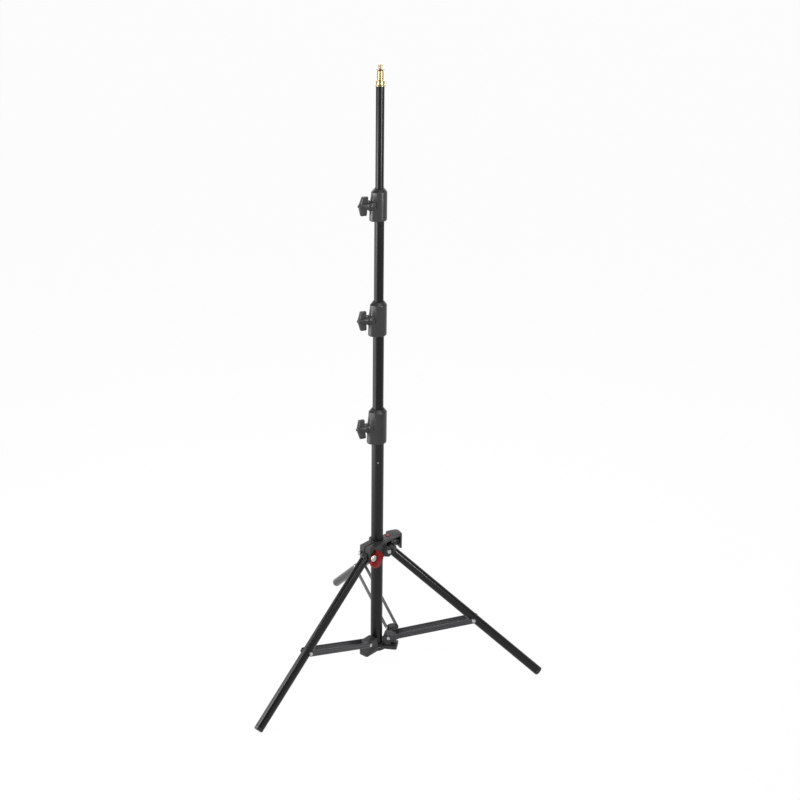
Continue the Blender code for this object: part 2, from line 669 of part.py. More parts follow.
def leg(label, palette):
    pivot = leg_frame(label, UPPER_PIVOT_Z)
    down = swung(pivot, math.pi - LEG_ANGLE)      # +Z runs down the leg
    name = "leg_" + label
    foot_start = LEG_LENGTH - FOOT_LENGTH
    bore = LEG_RADIUS - TUBE_WALL
    tube(name, LEG_RADIUS, bore, LEG_TOP + SEAT_GAP, foot_start - SEAT_GAP, palette.tube,
         down, steps=LEG_STEPS)
    across = down @ Matrix.Rotation(math.pi / 2, 4, "Y") @ Matrix.Rotation(math.pi / 2, 4, "Z")
    flank = LEG_RADIUS - TONGUE_INSET
    neck = LEG_TOP - TONGUE_SHOULDER / 2
    outline = arc((0.0, 0.0), flank, math.pi, 2 * math.pi, 10)
    outline += [(flank, neck), (-flank, neck)]
    tongue = slab(name + "_tongue", [outline], -TONGUE_HALF, TONGUE_HALF, palette.cast, across)
    shoulder = rod(name + "_tongue_shoulder", LEG_RADIUS, LEG_TOP - TONGUE_SHOULDER, LEG_TOP,
                   frame=down, steps=LEG_STEPS, guide=True)
    plug = rod(name + "_tongue_plug", bore - SEAT_GAP, neck, LEG_TOP + LEG_PLUG,
               frame=down, steps=LEG_STEPS, guide=True)
    hole = rod(name + "_tongue_hole", BOLT_RADIUS + SEAT_GAP, -LEG_OD, LEG_OD,
               frame=across_axis(pivot), guide=True)
    combine(tongue, [shoulder, plug], "UNION")
    combine(tongue, [hole])
    turned(name + "_foot", [
        (0.0, LEG_LENGTH), (LEG_RADIUS - FOOT_FILLET, LEG_LENGTH),
        (LEG_RADIUS - FOOT_FILLET * 0.3, LEG_LENGTH - FOOT_FILLET * 0.3),
        (LEG_RADIUS, LEG_LENGTH - FOOT_FILLET), (LEG_RADIUS, foot_start),
        (bore - SEAT_GAP, foot_start), (bore - SEAT_GAP, foot_start - LEG_PLUG),
        (0.0, foot_start - LEG_PLUG)], palette.nylon, down, steps=LEG_STEPS)


def brace(label, palette):
    """Two strips with round ends, the stub rivets at the leg and their spacers."""
    pivot = leg_frame(label, LOWER_PIVOT_Z)
    up = swung(pivot, BRACE_ANGLE)                # +Z runs up the brace
    name = "brace_" + label
    inner = STRIP_SPREAD - STRIP_THICKNESS / 2
    outer = STRIP_SPREAD + STRIP_THICKNESS / 2
    hole_radius = RIVET_RADIUS + SEAT_GAP
    holes = [round_hole(0.0, y, hole_radius) for y in (0.0, BRACE_LENGTH)]
    flat = up @ Matrix.Rotation(math.pi / 2, 4, "Y") @ Matrix.Rotation(math.pi / 2, 4, "Z")
    for side, low in (("a", inner), ("b", -outer)):
        slab(name + "_strip_" + side, [slot_outline(BRACE_LENGTH, STRIP_HEIGHT / 2)] + holes,
             low, low + STRIP_THICKNESS, palette.strip, flat)
    joint = up @ Matrix.Translation((0.0, 0.0, BRACE_LENGTH))
    washer_end = LEG_RADIUS + SEAT_GAP
    for side, turn in (("a", math.pi / 2), ("b", -math.pi / 2)):
        profile = rivet_profile(RIVET_RADIUS, 0.0, outer + SEAT_GAP)[:-2]
        profile += [(RIVET_RADIUS, inner - SEAT_GAP),
                    (RIVET_HEAD_RADIUS, inner - SEAT_GAP),
                    (RIVET_HEAD_RADIUS, washer_end), (0.0, washer_end)]
        turned(name + "_rivet_" + side, profile, palette.steel,
               joint @ Matrix.Rotation(turn, 4, "Y"), SMALL_STEPS)


def roof_corners():
    """Plan of the flat roof between the right and rear hoods, with its long slanting edge."""
    left = leg_frame("left", 0.0)
    right = leg_frame("right", 0.0)
    rear = leg_frame("rear", 0.0)
    start = HOODS["rear"][0]
    # the outer faces of the left and right hoods meet at the front corner
    origin = left @ Vector((-HOOD_HALF_WIDTH, 0.0, 0.0))
    along = left.to_3x3() @ Vector((0.0, 1.0, 0.0))
    other = right @ Vector((HOOD_HALF_WIDTH, 0.0, 0.0))
    face = right.to_3x3() @ Vector((1.0, 0.0, 0.0))
    front = origin + along * ((other - origin).dot(face) / along.dot(face))
    outer = rear @ Vector((HOOD_HALF_WIDTH - ROOF_LIP, start + ROOF_LIP, 0.0))
    inner = rear @ Vector((ROOF_LIP - HOOD_HALF_WIDTH, 0.0, 0.0))
    return [front.to_2d(), outer.to_2d(), inner.to_2d(), Vector((0.0, MAST_RADIUS))]


def upper_hub(palette):
    """Casting that slides on the mast: a ring with three hoods over the legs' tops."""
    centre = Matrix.Translation((0.0, 0.0, UPPER_PIVOT_Z))
    bush_inner = MAST_RADIUS + SEAT_GAP
    bush_outer = bush_inner + HUB_BUSH_WALL
    casting = rod("upper_hub", HUB_RING_RADIUS, HUB_BOTTOM - ROOF_LIP, HUB_RING_TOP,
                  palette.cast, centre, ROUND_STEPS)
    solids = []
    cutters = [rod("upper_hub_bore", bush_outer + SEAT_GAP, HUB_BOTTOM - CUT_PAST,
                   HUB_RING_TOP + CUT_PAST, frame=centre, steps=ROUND_STEPS, guide=True)]
    for label, (start, end, corner) in HOODS.items():
        frame = leg_frame(label, UPPER_PIVOT_Z)
        back = -(POCKET_HALF + POCKET_BACK - POCKET_CLEARANCE)
        if label == "right":
            outline = rounded_rectangle((start, HUB_BOTTOM), (end, HUB_ROOF),
                                        (corner, EAR_CORNER, corner, corner), 4)
            hood = slab("hood_right", [outline], -HOOD_HALF_WIDTH, HOOD_HALF_WIDTH,
                        frame=side_view(frame), edge=HOOD_EDGE, guide=True)
        else:
            outline = rounded_rectangle((-HOOD_HALF_WIDTH, start), (HOOD_HALF_WIDTH, end),
                                        (corner * 0.3, corner * 0.3, corner, corner), 4)
            hood = slab("hood_" + label, [outline], HUB_BOTTOM, HUB_ROOF, frame=frame,
                        edge=HOOD_EDGE, guide=True)
        solids.append(hood)
        if label == "rear":
            back = start - REAR_OPENING
        ceiling = HUB_ROOF - HUB_ROOF_WALL
        under_wall = LEG_RADIUS / math.sin(LEG_ANGLE) - (
            (end - HOOD_WALL) / math.tan(LEG_ANGLE)) + POCKET_CLEARANCE
        below = HUB_BOTTOM - CUT_PAST
        outside = end + CUT_PAST
        pocket = [(back, below), (outside, below), (outside, under_wall),
                  (end - HOOD_WALL, under_wall), (end - HOOD_WALL, ceiling), (back, ceiling)]
        cutters += [
            slab("pocket_" + label, [pocket], -POCKET_HALF, POCKET_HALF,
                 frame=side_view(frame), guide=True),
            rod("pivot_hole_" + label, BOLT_RADIUS + SEAT_GAP, -2 * HOOD_HALF_WIDTH,
                2 * HOOD_HALF_WIDTH,
                frame=across_axis(frame), guide=True),
        ]
    front, outer, inner, middle = roof_corners()
    slant = (outer - front).normalized()
    past = Vector((slant.y, -slant.x)) * ROOF_LIP
    solids.append(slab("roof", [[front + past, outer + past, inner, middle]],
                       HUB_ROOF - HUB_ROOF_WALL, HUB_ROOF - ROOF_LIP, frame=centre,
                       guide=True))
    aside = past.normalized() * BUTTON_BLOCK * 4
    start = front - slant * ROOF_LIP * 4
    corner_cut = [start, start + aside, outer + aside, outer]
    cutters.append(slab("ear_cut", [corner_cut], EAR_TOP, HUB_RING_TOP + MAST_OD,
                        frame=centre, guide=True))
    button = Matrix.Translation((BUTTON_X, BUTTON_Y, 0.0)) @ centre
    solids.append(rod("button_block", BUTTON_BLOCK, HUB_BOTTOM + ROOF_LIP, HUB_ROOF - ROOF_LIP / 2,
                      frame=button, steps=LEG_STEPS, guide=True))
    cutters.append(rod("button_well", BUTTON_RADIUS + BUTTON_RIM + SEAT_GAP,
                       HUB_ROOF - BUTTON_SKIRT - BUTTON_TRAVEL - SEAT_GAP, HUB_ROOF + CUT_PAST,
                       frame=button, steps=KNOB_STEPS, guide=True))
    for label in ("right", "rear"):
        across = across_axis(leg_frame(label, UPPER_PIVOT_Z))
        for side, turned_frame in (("a", across), ("b", flipped(across))):
            cutters.append(rod("recess_%s_%s" % (label, side),
                               HUB_RIVET_HEAD_RADIUS + RECESS_CLEARANCE,
                               HOOD_HALF_WIDTH + SEAT_GAP / 2,
                               HOOD_HALF_WIDTH + RECESS_DEPTH, frame=turned_frame,
                               steps=KNOB_STEPS, guide=True))
    left = leg_frame("left", UPPER_PIVOT_Z)
    cutters.append(box("clamp_slit", (-CLAMP_SLIT / 2, -LEGS["left"][1],
                                      HUB_BOTTOM - CUT_PAST),
                       (CLAMP_SLIT / 2, HOODS["left"][1] + CUT_PAST, HUB_ROOF + CUT_PAST), left))
    combine(casting, solids, "UNION")
    combine(casting, cutters)
    tube("hub_bush", bush_outer, bush_inner, HUB_BOTTOM, HUB_RING_TOP - ROOF_LIP,
         palette.nylon, centre)


def hub_fasteners(palette):
    """Clamp bolt and nut in the left arm, rivets in the other two."""
    left = across_axis(leg_frame("left", UPPER_PIVOT_Z))
    near = flipped(left)                           # +Z towards the lever's side
    head_seat = HOOD_HALF_WIDTH + SEAT_GAP + LEVER_HUB + SEAT_GAP
    turned("clamp_bolt", [
        (0.0, head_seat + BOLT_HEAD), (BOLT_HEAD_RADIUS * 0.55, head_seat + BOLT_HEAD),
        (BOLT_HEAD_RADIUS * 0.88, head_seat + BOLT_HEAD * 0.80),
        (BOLT_HEAD_RADIUS, head_seat + BOLT_HEAD * 0.40), (BOLT_HEAD_RADIUS, head_seat),
        (BOLT_RADIUS, head_seat), (BOLT_RADIUS, -HOOD_HALF_WIDTH - NUT_HEIGHT),
        (0.0, -HOOD_HALF_WIDTH - NUT_HEIGHT)], palette.steel, near, steps=LEG_STEPS)
    hexagon = arc((0.0, 0.0), NUT_RADIUS, 0.0, 5 * math.pi / 3, 5)
    slab("clamp_nut", [hexagon, round_hole(0.0, 0.0, BOLT_RADIUS + SEAT_GAP)],
         -HOOD_HALF_WIDTH - SEAT_GAP - NUT_HEIGHT, -HOOD_HALF_WIDTH - SEAT_GAP,
         palette.steel, near)
    for label in ("right", "rear"):
        frame = across_axis(leg_frame(label, UPPER_PIVOT_Z))
        through_rivet("hub_rivet_" + label, HOOD_HALF_WIDTH + SEAT_GAP, palette.steel, frame,
                      HUB_RIVET_HEAD_RADIUS, BOLT_RADIUS)


def clamp_lever(palette):
    """Red lever on the clamp bolt: a crescent off towards the mast, with a thumb tab on top."""
    near = flipped(across_axis(leg_frame("left", UPPER_PIVOT_Z)))
    # in this frame +X points down and +Y towards the mast
    low = HOOD_HALF_WIDTH + SEAT_GAP
    centre = (LEVER_DOWN, LEVER_INWARD)
    half = LEVER_TAB_WIDTH / 2
    tab_top = LEVER_DOWN - LEVER_RADIUS - LEVER_TAB
    crescent = arc(centre, LEVER_RADIUS, math.radians(-80.0), math.radians(172.0), 22)
    tab = [(tab_top + half, LEVER_INWARD + half), (tab_top, LEVER_INWARD),
           (tab_top + half, LEVER_INWARD - half),
           (LEVER_DOWN - LEVER_RADIUS + LEVER_TAB, LEVER_INWARD - half)]
    neck = arc((0.0, 0.0), LEVER_NECK, math.radians(150.0), math.radians(-40.0) + 2 * math.pi, 8)
    hole = round_hole(0.0, 0.0, BOLT_RADIUS + SEAT_GAP)
    lever = slab("clamp_lever", [crescent + tab + neck, hole], low, low + LEVER_THICKNESS,
                 palette.red, near)
    well = rod("lever_well", BOLT_HEAD_RADIUS + LEVER_WELL, low + LEVER_HUB,
               low + LEVER_THICKNESS * 2, frame=near, steps=LEG_STEPS, guide=True)
    combine(lever, [well])
    add_bevel(lever, LEVER_EDGE)


def release_button(palette):
    place = Matrix.Translation((BUTTON_X, BUTTON_Y, UPPER_PIVOT_Z))
    top = HUB_ROOF + BUTTON_HEIGHT
    turned("release_button", [
        (0.0, top), (BUTTON_RADIUS * 0.6, top - BUTTON_CROWN * 0.2),
        (BUTTON_RADIUS * 0.9, top - BUTTON_CROWN), (BUTTON_RADIUS, top - BUTTON_CROWN * 2),
        (BUTTON_RADIUS, HUB_ROOF - BUTTON_SILL), (BUTTON_RADIUS + BUTTON_RIM,
                                                  HUB_ROOF - BUTTON_SILL),
        (BUTTON_RADIUS + BUTTON_RIM, HUB_ROOF - BUTTON_SKIRT),
        (0.0, HUB_ROOF - BUTTON_SKIRT)], palette.red, place, steps=KNOB_STEPS)


def lower_hub(palette):
    """Bottom casting: foot plate, cup for the mast and a lug for each pair of strips."""
    casting = rod("lower_hub", PLATE_RADIUS, 0.0, PLATE_HEIGHT, palette.cast,
                  steps=ROUND_STEPS)
    add_bevel(casting, PLATE_EDGE)
    solids = [rod("cup", CUP_RADIUS, LUG_SINK, CUP_TOP, steps=ROUND_STEPS, guide=True)]
    cutters = []
    for label, (start, end, half) in LUGS.items():
        frame = leg_frame(label, 0.0)
        foot = rounded_rectangle((-half, start - LUG_FOOT_BACK), (half, end + LUG_FOOT_OUT),
                                 (LUG_FOOT_BACK, LUG_FOOT_BACK, LUG_CORNER, LUG_CORNER), 3)
        solids.append(slab("lug_foot_" + label, [foot], HUB_LIP, PLATE_HEIGHT - HUB_LIP,
                           frame=frame, edge=PLATE_EDGE, guide=True))
        top = LOWER_PIVOT_Z + LUG_TOP
        if label == "rear":
            across = rounded_rectangle(
                (-LUG_HALF_WIDTH, LUG_SINK), (LUG_HALF_WIDTH, top),
                (LUG_SINK, LUG_SINK, REAR_LUG_CORNER, REAR_LUG_CORNER), 5)
            end_view = frame @ Matrix.Rotation(math.pi / 2, 4, "X")
            solids.append(slab("lug_rear", [across], -end, -start, frame=end_view,
                               edge=LUG_EDGE, guide=True))
            pocket = end_view @ Matrix.Translation((0.0, top - REAR_LUG_CORNER, 0.0))
            cutters.append(rod("lug_pocket", REAR_LUG_HOLE, -start - REAR_LUG_DEPTH,
                               -start + LUG_EDGE, frame=pocket, guide=True))
        else:
            side = rounded_rectangle((start, LUG_SINK), (end, top),
                                     (LUG_SINK, LUG_SINK, LUG_CORNER, LUG_CORNER), 3)
            solids.append(slab("lug_" + label, [side], -LUG_HALF_WIDTH, LUG_HALF_WIDTH,
                               frame=side_view(frame), edge=LUG_EDGE, guide=True))
        pivot = leg_frame(label, LOWER_PIVOT_Z)
        cutters.append(rod("lug_hole_" + label, RIVET_RADIUS + SEAT_GAP, -2 * LUG_HALF_WIDTH,
                           2 * LUG_HALF_WIDTH,
                           frame=across_axis(pivot), guide=True))
    rear = leg_frame("rear", 0.0).translation
    reach = rear.to_2d().length
    web = slab("rear_web", [slot_outline(reach, WEB_HALF)], 2 * HUB_LIP, PLATE_HEIGHT - 2 * HUB_LIP,
               frame=Matrix.Rotation(-math.atan2(rear.x, rear.y), 4, "Z"),
               edge=PLATE_EDGE, guide=True)
    solids.append(web)
    right = leg_frame("right", 0.0)
    cutters.append(box("lug_undercut", (-LUG_HALF_WIDTH * 2, UNDERCUT_START,
                                        PLATE_HEIGHT + HUB_LIP),
                       (LUG_HALF_WIDTH * 2, LUGS["right"][1] + CUT_PAST, LUG_UNDERCUT), right))
    cutters.append(rod("mast_socket", MAST_RADIUS + SEAT_GAP, TUBE_SEAT,
                       LOWER_PIVOT_Z + MAST_OD, steps=ROUND_STEPS, guide=True))
    combine(casting, solids, "UNION")
    combine(casting, cutters)
    half = STRIP_SPREAD + STRIP_THICKNESS / 2 + SEAT_GAP
    for label in LUGS:
        frame = across_axis(leg_frame(label, LOWER_PIVOT_Z))
        through_rivet("lower_rivet_" + label, half, palette.steel, frame)


def main():
    palette = Palette()
    mast(palette)
    lower_hub(palette)
    upper_hub(palette)
    hub_fasteners(palette)
    clamp_lever(palette)
    release_button(palette)
    for label in LEGS:
        leg(label, palette)
        brace(label, palette)


clear_scene()
PARTS = make_collection("light_stand")
GUIDES = make_collection("guides")
main()
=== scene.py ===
import json
import math

import bmesh
import bpy
from mathutils import Matrix, Vector


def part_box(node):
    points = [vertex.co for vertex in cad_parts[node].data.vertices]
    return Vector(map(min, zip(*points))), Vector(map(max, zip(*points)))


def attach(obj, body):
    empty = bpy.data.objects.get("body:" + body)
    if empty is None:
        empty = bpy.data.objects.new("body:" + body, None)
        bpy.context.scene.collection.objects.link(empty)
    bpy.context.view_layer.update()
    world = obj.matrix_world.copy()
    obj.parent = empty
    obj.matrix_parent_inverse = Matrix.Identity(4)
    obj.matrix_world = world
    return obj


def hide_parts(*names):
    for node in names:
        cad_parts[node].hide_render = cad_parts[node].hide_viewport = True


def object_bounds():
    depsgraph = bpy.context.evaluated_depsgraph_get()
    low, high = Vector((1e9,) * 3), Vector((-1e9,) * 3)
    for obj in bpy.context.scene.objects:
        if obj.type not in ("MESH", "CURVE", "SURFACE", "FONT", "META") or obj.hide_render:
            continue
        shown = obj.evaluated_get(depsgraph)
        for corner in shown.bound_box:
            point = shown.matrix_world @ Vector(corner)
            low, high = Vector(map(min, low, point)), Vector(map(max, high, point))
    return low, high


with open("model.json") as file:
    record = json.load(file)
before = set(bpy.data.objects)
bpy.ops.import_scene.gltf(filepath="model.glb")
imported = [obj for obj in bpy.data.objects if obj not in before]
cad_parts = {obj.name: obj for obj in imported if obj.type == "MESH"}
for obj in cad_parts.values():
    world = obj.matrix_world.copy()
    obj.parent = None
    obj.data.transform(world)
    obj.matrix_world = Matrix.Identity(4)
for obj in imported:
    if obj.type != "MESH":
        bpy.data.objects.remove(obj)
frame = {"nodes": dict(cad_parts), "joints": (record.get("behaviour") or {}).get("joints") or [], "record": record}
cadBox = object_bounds()
record = frame["record"]
joints = {joint["name"]: joint for joint in frame["joints"]}
bodyOf = {node: body for body, nodes in record["behaviour"]["bodies"].items() for node in nodes}
print("frame loaded:", len(frame["nodes"]), "nodes")


class Signal:
    # one output of a shader node; arithmetic on it adds Math nodes
    def __init__(self, tree, socket=None):
        self.tree = tree
        self.socket = socket

    def add(self, kind, settings, values, output=0):
        node = self.tree.nodes.new(kind)
        for name, value in settings.items():
            setattr(node, name, value)
        for key, value in values.items():
            feed(self.tree, node.inputs[key], value)
        return Signal(self.tree, node.outputs[output])

    def maths(self, operation, first, second=0.0, clamp=False):
        return self.add("ShaderNodeMath", {"operation": operation, "use_clamp": clamp},
                        {0: first, 1: second})

    def __add__(self, other):
        return self.maths("ADD", self, other)

    def __radd__(self, other):
        return self.maths("ADD", other, self)

    def __sub__(self, other):
        return self.maths("SUBTRACT", self, other)

    def __rsub__(self, other):
        return self.maths("SUBTRACT", other, self)

    def __mul__(self, other):
        return self.maths("MULTIPLY", self, other)

    def __rmul__(self, other):
        return self.maths("MULTIPLY", other, self)

    def __truediv__(self, other):
        return self.maths("DIVIDE", self, other)

    def __rtruediv__(self, other):
        return self.maths("DIVIDE", other, self)

    def __pow__(self, other):
        return self.maths("POWER", self, other)

    def __rpow__(self, other):
        return self.maths("POWER", other, self)

    def __gt__(self, other):
        return self.maths("GREATER_THAN", self, other)

    def __lt__(self, other):
        return self.maths("LESS_THAN", self, other)


def feed(tree, target, value):
    if isinstance(value, Signal):
        tree.links.new(value.socket, target)
    else:
        target.default_value = value


def newMaterial(name, constants):
    material = bpy.data.materials.new(name)
    material.use_nodes = True
    tree = material.node_tree
    shader = tree.nodes["Principled BSDF"]
    for socket, value in constants.items():
        shader.inputs[socket].default_value = value
    spot = Signal(tree).add("ShaderNodeTexCoord", {}, {}, "Object")
    return material, shader, spot


def noise(spot, scale, detail=2.0, rough=0.5):
    return spot.add("ShaderNodeTexNoise", {}, {"Vector": spot, "Scale": scale, "Detail": detail,
                                               "Roughness": rough}, "Fac")


def blendColour(factor, first, second):
    return factor.add("ShaderNodeMix", {"data_type": "RGBA"},
                      {0: factor, 6: (*first, 1.0), 7: (*second, 1.0)}, 2)


def bump(height, strength, distance):
    return height.add("ShaderNodeBump", {}, {"Strength": strength, "Distance": distance,
                                             "Height": height})


def finish(shader, colour, roughness, normal=None):
    tree = shader.id_data
    feed(tree, shader.inputs["Base Color"], colour)
    feed(tree, shader.inputs["Roughness"], roughness)
    if normal:
        feed(tree, shader.inputs["Normal"], normal)


# black anodised tube: lengthwise drawing lines under a satin coat, with faint handling marks
tubeFinish = {"dark": (0.0030, 0.0030, 0.0032), "light": (0.0050, 0.0050, 0.0054),
              "lines": 900.0, "stretch": 0.006, "linesShare": 0.6, "marks": 22.0,
              "roughness": 0.20, "marksRough": 0.08, "linesRough": 0.05, "specular": 0.19}


def tubeMaterial(name, turn=(0.0, 0.0, 0.0), roughness=tubeFinish["roughness"],
                 specular=tubeFinish["specular"]):
    material, shader, spot = newMaterial(name, {"Specular IOR Level": specular})
    drawn = spot.add("ShaderNodeMapping", {"vector_type": "TEXTURE"}, {
        "Vector": spot, "Rotation": turn, "Scale": (1.0, 1.0, 1.0 / tubeFinish["stretch"])})
    lines = noise(drawn, tubeFinish["lines"], 3.0, 0.6)
    marks = noise(spot, tubeFinish["marks"], 4.0, 0.6)
    mixed = lines * tubeFinish["linesShare"] + marks * (1.0 - tubeFinish["linesShare"])
    colour = blendColour(mixed, tubeFinish["dark"], tubeFinish["light"])
    rough = (roughness + (marks - 0.5) * tubeFinish["marksRough"]
             + (lines - 0.5) * tubeFinish["linesRough"])
    finish(shader, colour, rough, bump(lines, 0.02, 0.00002))
    return material


# moulded black plastic: a fine spark grain under broad, slightly greyer clouds
mouldFinish = {"dark": (0.012, 0.012, 0.0122), "light": (0.022, 0.022, 0.0222),
               "grain": 2400.0, "grainShare": 0.4, "cloud": 60.0, "roughness": 0.31,
               "cloudRough": 0.14, "specular": 0.36}


def mouldMaterial(name, lift=0.0):
    # lift makes the plastic a little lighter or darker
    material, shader, spot = newMaterial(name, {"Specular IOR Level": mouldFinish["specular"]})
    grain = noise(spot, mouldFinish["grain"], 2.0, 0.6)
    cloud = noise(spot, mouldFinish["cloud"], 3.0)
    dark = tuple(c + lift for c in mouldFinish["dark"])
    light = tuple(c + lift * 1.3 for c in mouldFinish["light"])
    mixed = grain * mouldFinish["grainShare"] + cloud * (1.0 - mouldFinish["grainShare"])
    colour = blendColour(mixed, dark, light)
    rough = mouldFinish["roughness"] + (cloud - 0.5) * mouldFinish["cloudRough"]
    finish(shader, colour, rough, bump(grain, 0.03, 0.00002))
    return material


# powder coat on the brace strips
stripFinish = {"dark": (0.018, 0.018, 0.020), "light": (0.032, 0.032, 0.036),
               "pebble": 900.0, "cloud": 35.0, "roughness": 0.36, "cloudRough": 0.10,
               "specular": 0.4}


def stripMaterial(name):
    material, shader, spot = newMaterial(name, {"Specular IOR Level": stripFinish["specular"]})
    pebble = noise(spot, stripFinish["pebble"], 2.0)
    cloud = noise(spot, stripFinish["cloud"], 3.0)
    colour = blendColour(cloud, stripFinish["dark"], stripFinish["light"])
    rough = stripFinish["roughness"] + (cloud - 0.5) * stripFinish["cloudRough"]
    finish(shader, colour, rough, bump(pebble, 0.06, 0.00004))
    return material


# bare metal: fine turning marks and a faint tarnish
metalFinish = {"tarnish": 90.0, "turningRough": 0.08, "tarnishRough": 0.10}


def metalMaterial(name, dark, light, roughness, scale=300.0, stretch=(1.0, 1.0, 1.0)):
    material, shader, spot = newMaterial(name, {"Metallic": 1.0})
    laid = spot.add("ShaderNodeMapping", {"vector_type": "TEXTURE"},
                     {"Vector": spot, "Scale": stretch})
    turning = noise(laid, scale, 3.0, 0.6)
    tarnish = noise(spot, metalFinish["tarnish"], 4.0, 0.6)
    colour = blendColour(tarnish, dark, light)
    rough = (roughness + (turning - 0.5) * metalFinish["turningRough"]
             + (tarnish - 0.5) * metalFinish["tarnishRough"])
    finish(shader, colour, rough, bump(turning, 0.02, 0.00001))
    return material


# red moulded plastic of the lever and the button
redFinish = {"grain": 1800.0, "cloud": 70.0, "roughness": 0.34, "cloudRough": 0.10}


def redMaterial(name, dark, light, specular):
    material, shader, spot = newMaterial(name, {"Specular IOR Level": specular})
    grain = noise(spot, redFinish["grain"], 2.0)
    cloud = noise(spot, redFinish["cloud"], 3.0)
    colour = blendColour(cloud, dark, light)
    rough = redFinish["roughness"] + (cloud - 0.5) * redFinish["cloudRough"]
    finish(shader, colour, rough, bump(grain, 0.05, 0.00003))
    return material


finishes = {
    "black_tube": tubeMaterial("drawnTube"),
    "shaded_steel": metalMaterial("shadedSteel", (0.36, 0.36, 0.365), (0.50, 0.50, 0.505), 0.30),
    "black_moulding": mouldMaterial("grainedMoulding"),
    "black_strip": stripMaterial("stripCoat"),
    "dark_nylon": mouldMaterial("darkNylon", -0.002),
    "bright_steel": metalMaterial("brightSteel", (0.42, 0.42, 0.43), (0.56, 0.56, 0.57), 0.30),
    "brass": metalMaterial("turnedBrass", (0.26, 0.200, 0.105), (0.33, 0.26, 0.145), 0.25, 700.0,
                           (1.0, 1.0, 0.2)),
    "dull_brass": metalMaterial("dullBrass", (0.16, 0.13, 0.08), (0.24, 0.20, 0.12), 0.22),
    "red_moulding": redMaterial("redMoulding", (0.15, 0.003, 0.004), (0.225, 0.006, 0.007), 0.1),
    "button_red": redMaterial("buttonRed", (0.16, 0.006, 0.008), (0.21, 0.012, 0.014), 0.6),
}
# the slot of a node follows from a word in its name, the first that fits
slotWords = {
    "brass": ("spigot",),
    "red_moulding": ("clamp_lever", "release_button"),
    "bright_steel": ("rivet", "clamp_bolt", "clamp_nut", "_screw", "_washer"),
    "dark_nylon": ("_liner", "_piston", "_shoe", "hub_bush"),
    "black_strip": ("_strip",),
    "black_tube": ("_riser", "base_tube", "leg_left", "leg_right", "leg_rear"),
}


def slotFor(node):
    if node.endswith(("_foot", "_tongue", "_collar", "_knob", "_hub")):
        return "black_moulding"
    return next(slot for slot, words in slotWords.items() if any(word in node for word in words))


slotOf = {node: slotFor(node) for node in frame["nodes"]}
print("materials made:", len(finishes))


# how close two points are when they become one, in a made piece and in a copied node
madeWeld, copyWeld = 0.000004, 0.00002
# the rounding of a copied node's edges, and the steps of a turned piece
roundedEdge = 0.0004
roundSteps, smallSteps = 96, 48
sides = ("left", "right", "rear")


def place(name, solid, body, slotName, nodes, edge=0.0, segments=2, angle=32.0, material=None):
    # merges, turns the faces outwards and hands the finished piece to its body
    bmesh.ops.remove_doubles(solid, verts=solid.verts, dist=madeWeld)
    bmesh.ops.recalc_face_normals(solid, faces=solid.faces)
    mesh = bpy.data.meshes.new(name)
    solid.to_mesh(mesh)
    solid.free()
    mesh.shade_smooth()
    mesh.materials.append(material or finishes[slotName])
    piece = bpy.data.objects.new(name, mesh)
    bpy.context.scene.collection.objects.link(piece)
    if edge:
        rounding = piece.modifiers.new("edges", "BEVEL")
        rounding.width = edge
        rounding.segments = segments
        rounding.limit_method = "ANGLE"
        rounding.angle_limit = math.radians(angle)
        rounding.harden_normals = True
    else:
        mesh.set_sharp_from_angle(angle=math.radians(angle))
    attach(piece, body)
    if nodes:
        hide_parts(*nodes)
    return piece


def mergedCopy(node):
    # a copy of a CAD node with its points merged and its flats cleaned
    solid = bmesh.new()
    solid.from_mesh(frame["nodes"][node].data)
    bmesh.ops.remove_doubles(solid, verts=solid.verts, dist=copyWeld)
    bmesh.ops.dissolve_limit(solid, angle_limit=math.radians(1.0), verts=solid.verts,
                             edges=solid.edges)
    return solid


def addSolid(solid, other):
    # puts the faces of one bmesh into another
    carrier = bpy.data.meshes.new("carrier")
    other.to_mesh(carrier)
    other.free()
    solid.from_mesh(carrier)
    bpy.data.meshes.remove(carrier)


def turnedSolid(profile, steps=roundSteps, placing=Matrix()):
    # (radius, height) points spun once round the z axis
    solid = bmesh.new()
    verts = [solid.verts.new((radius, 0.0, height)) for radius, height in profile]
    edges = [solid.edges.new(pair) for pair in zip(verts, verts[1:])]
    if profile[0][0] > 0.0:
        edges.append(solid.edges.new((verts[-1], verts[0])))
    bmesh.ops.spin(solid, geom=verts + edges, cent=(0.0, 0.0, 0.0), axis=(0.0, 0.0, 1.0),
                   angle=2 * math.pi, steps=steps, use_merge=True, use_normal_flip=False)
    bmesh.ops.remove_doubles(solid, verts=solid.verts, dist=madeWeld)
    bmesh.ops.transform(solid, matrix=placing, verts=solid.verts)
    return solid


def tubeProfile(outer, wall, lip, low, high):
    inner = outer - wall
    return [(inner, low), (outer - lip, low), (outer, low + lip), (outer, high - lip),
            (outer - lip, high), (inner, high)]


def quarter(centre, radius, start, count):
    # points of a quarter turn in a profile, angles in degrees from the radial direction
    return [(centre[0] + radius * math.cos(math.radians(start + 90.0 * i / count)),
             centre[1] + radius * math.sin(math.radians(start + 90.0 * i / count)))
            for i in range(count + 1)]


def softCorner(radius, level, steps):
    # a corner of a profile given as (how far in, how far down) steps
    return [(radius - inward, level - down) for inward, down in steps]


def frameMatrix(origin, xAxis, yAxis, zAxis):
    # puts the origin at a point, with its three axes along the given directions
    return Matrix.Translation(origin) @ Matrix((xAxis, yAxis, zAxis)).transposed().to_4x4()


def jointAxis(name):
    return Vector(joints[name]["axis"]).normalized()


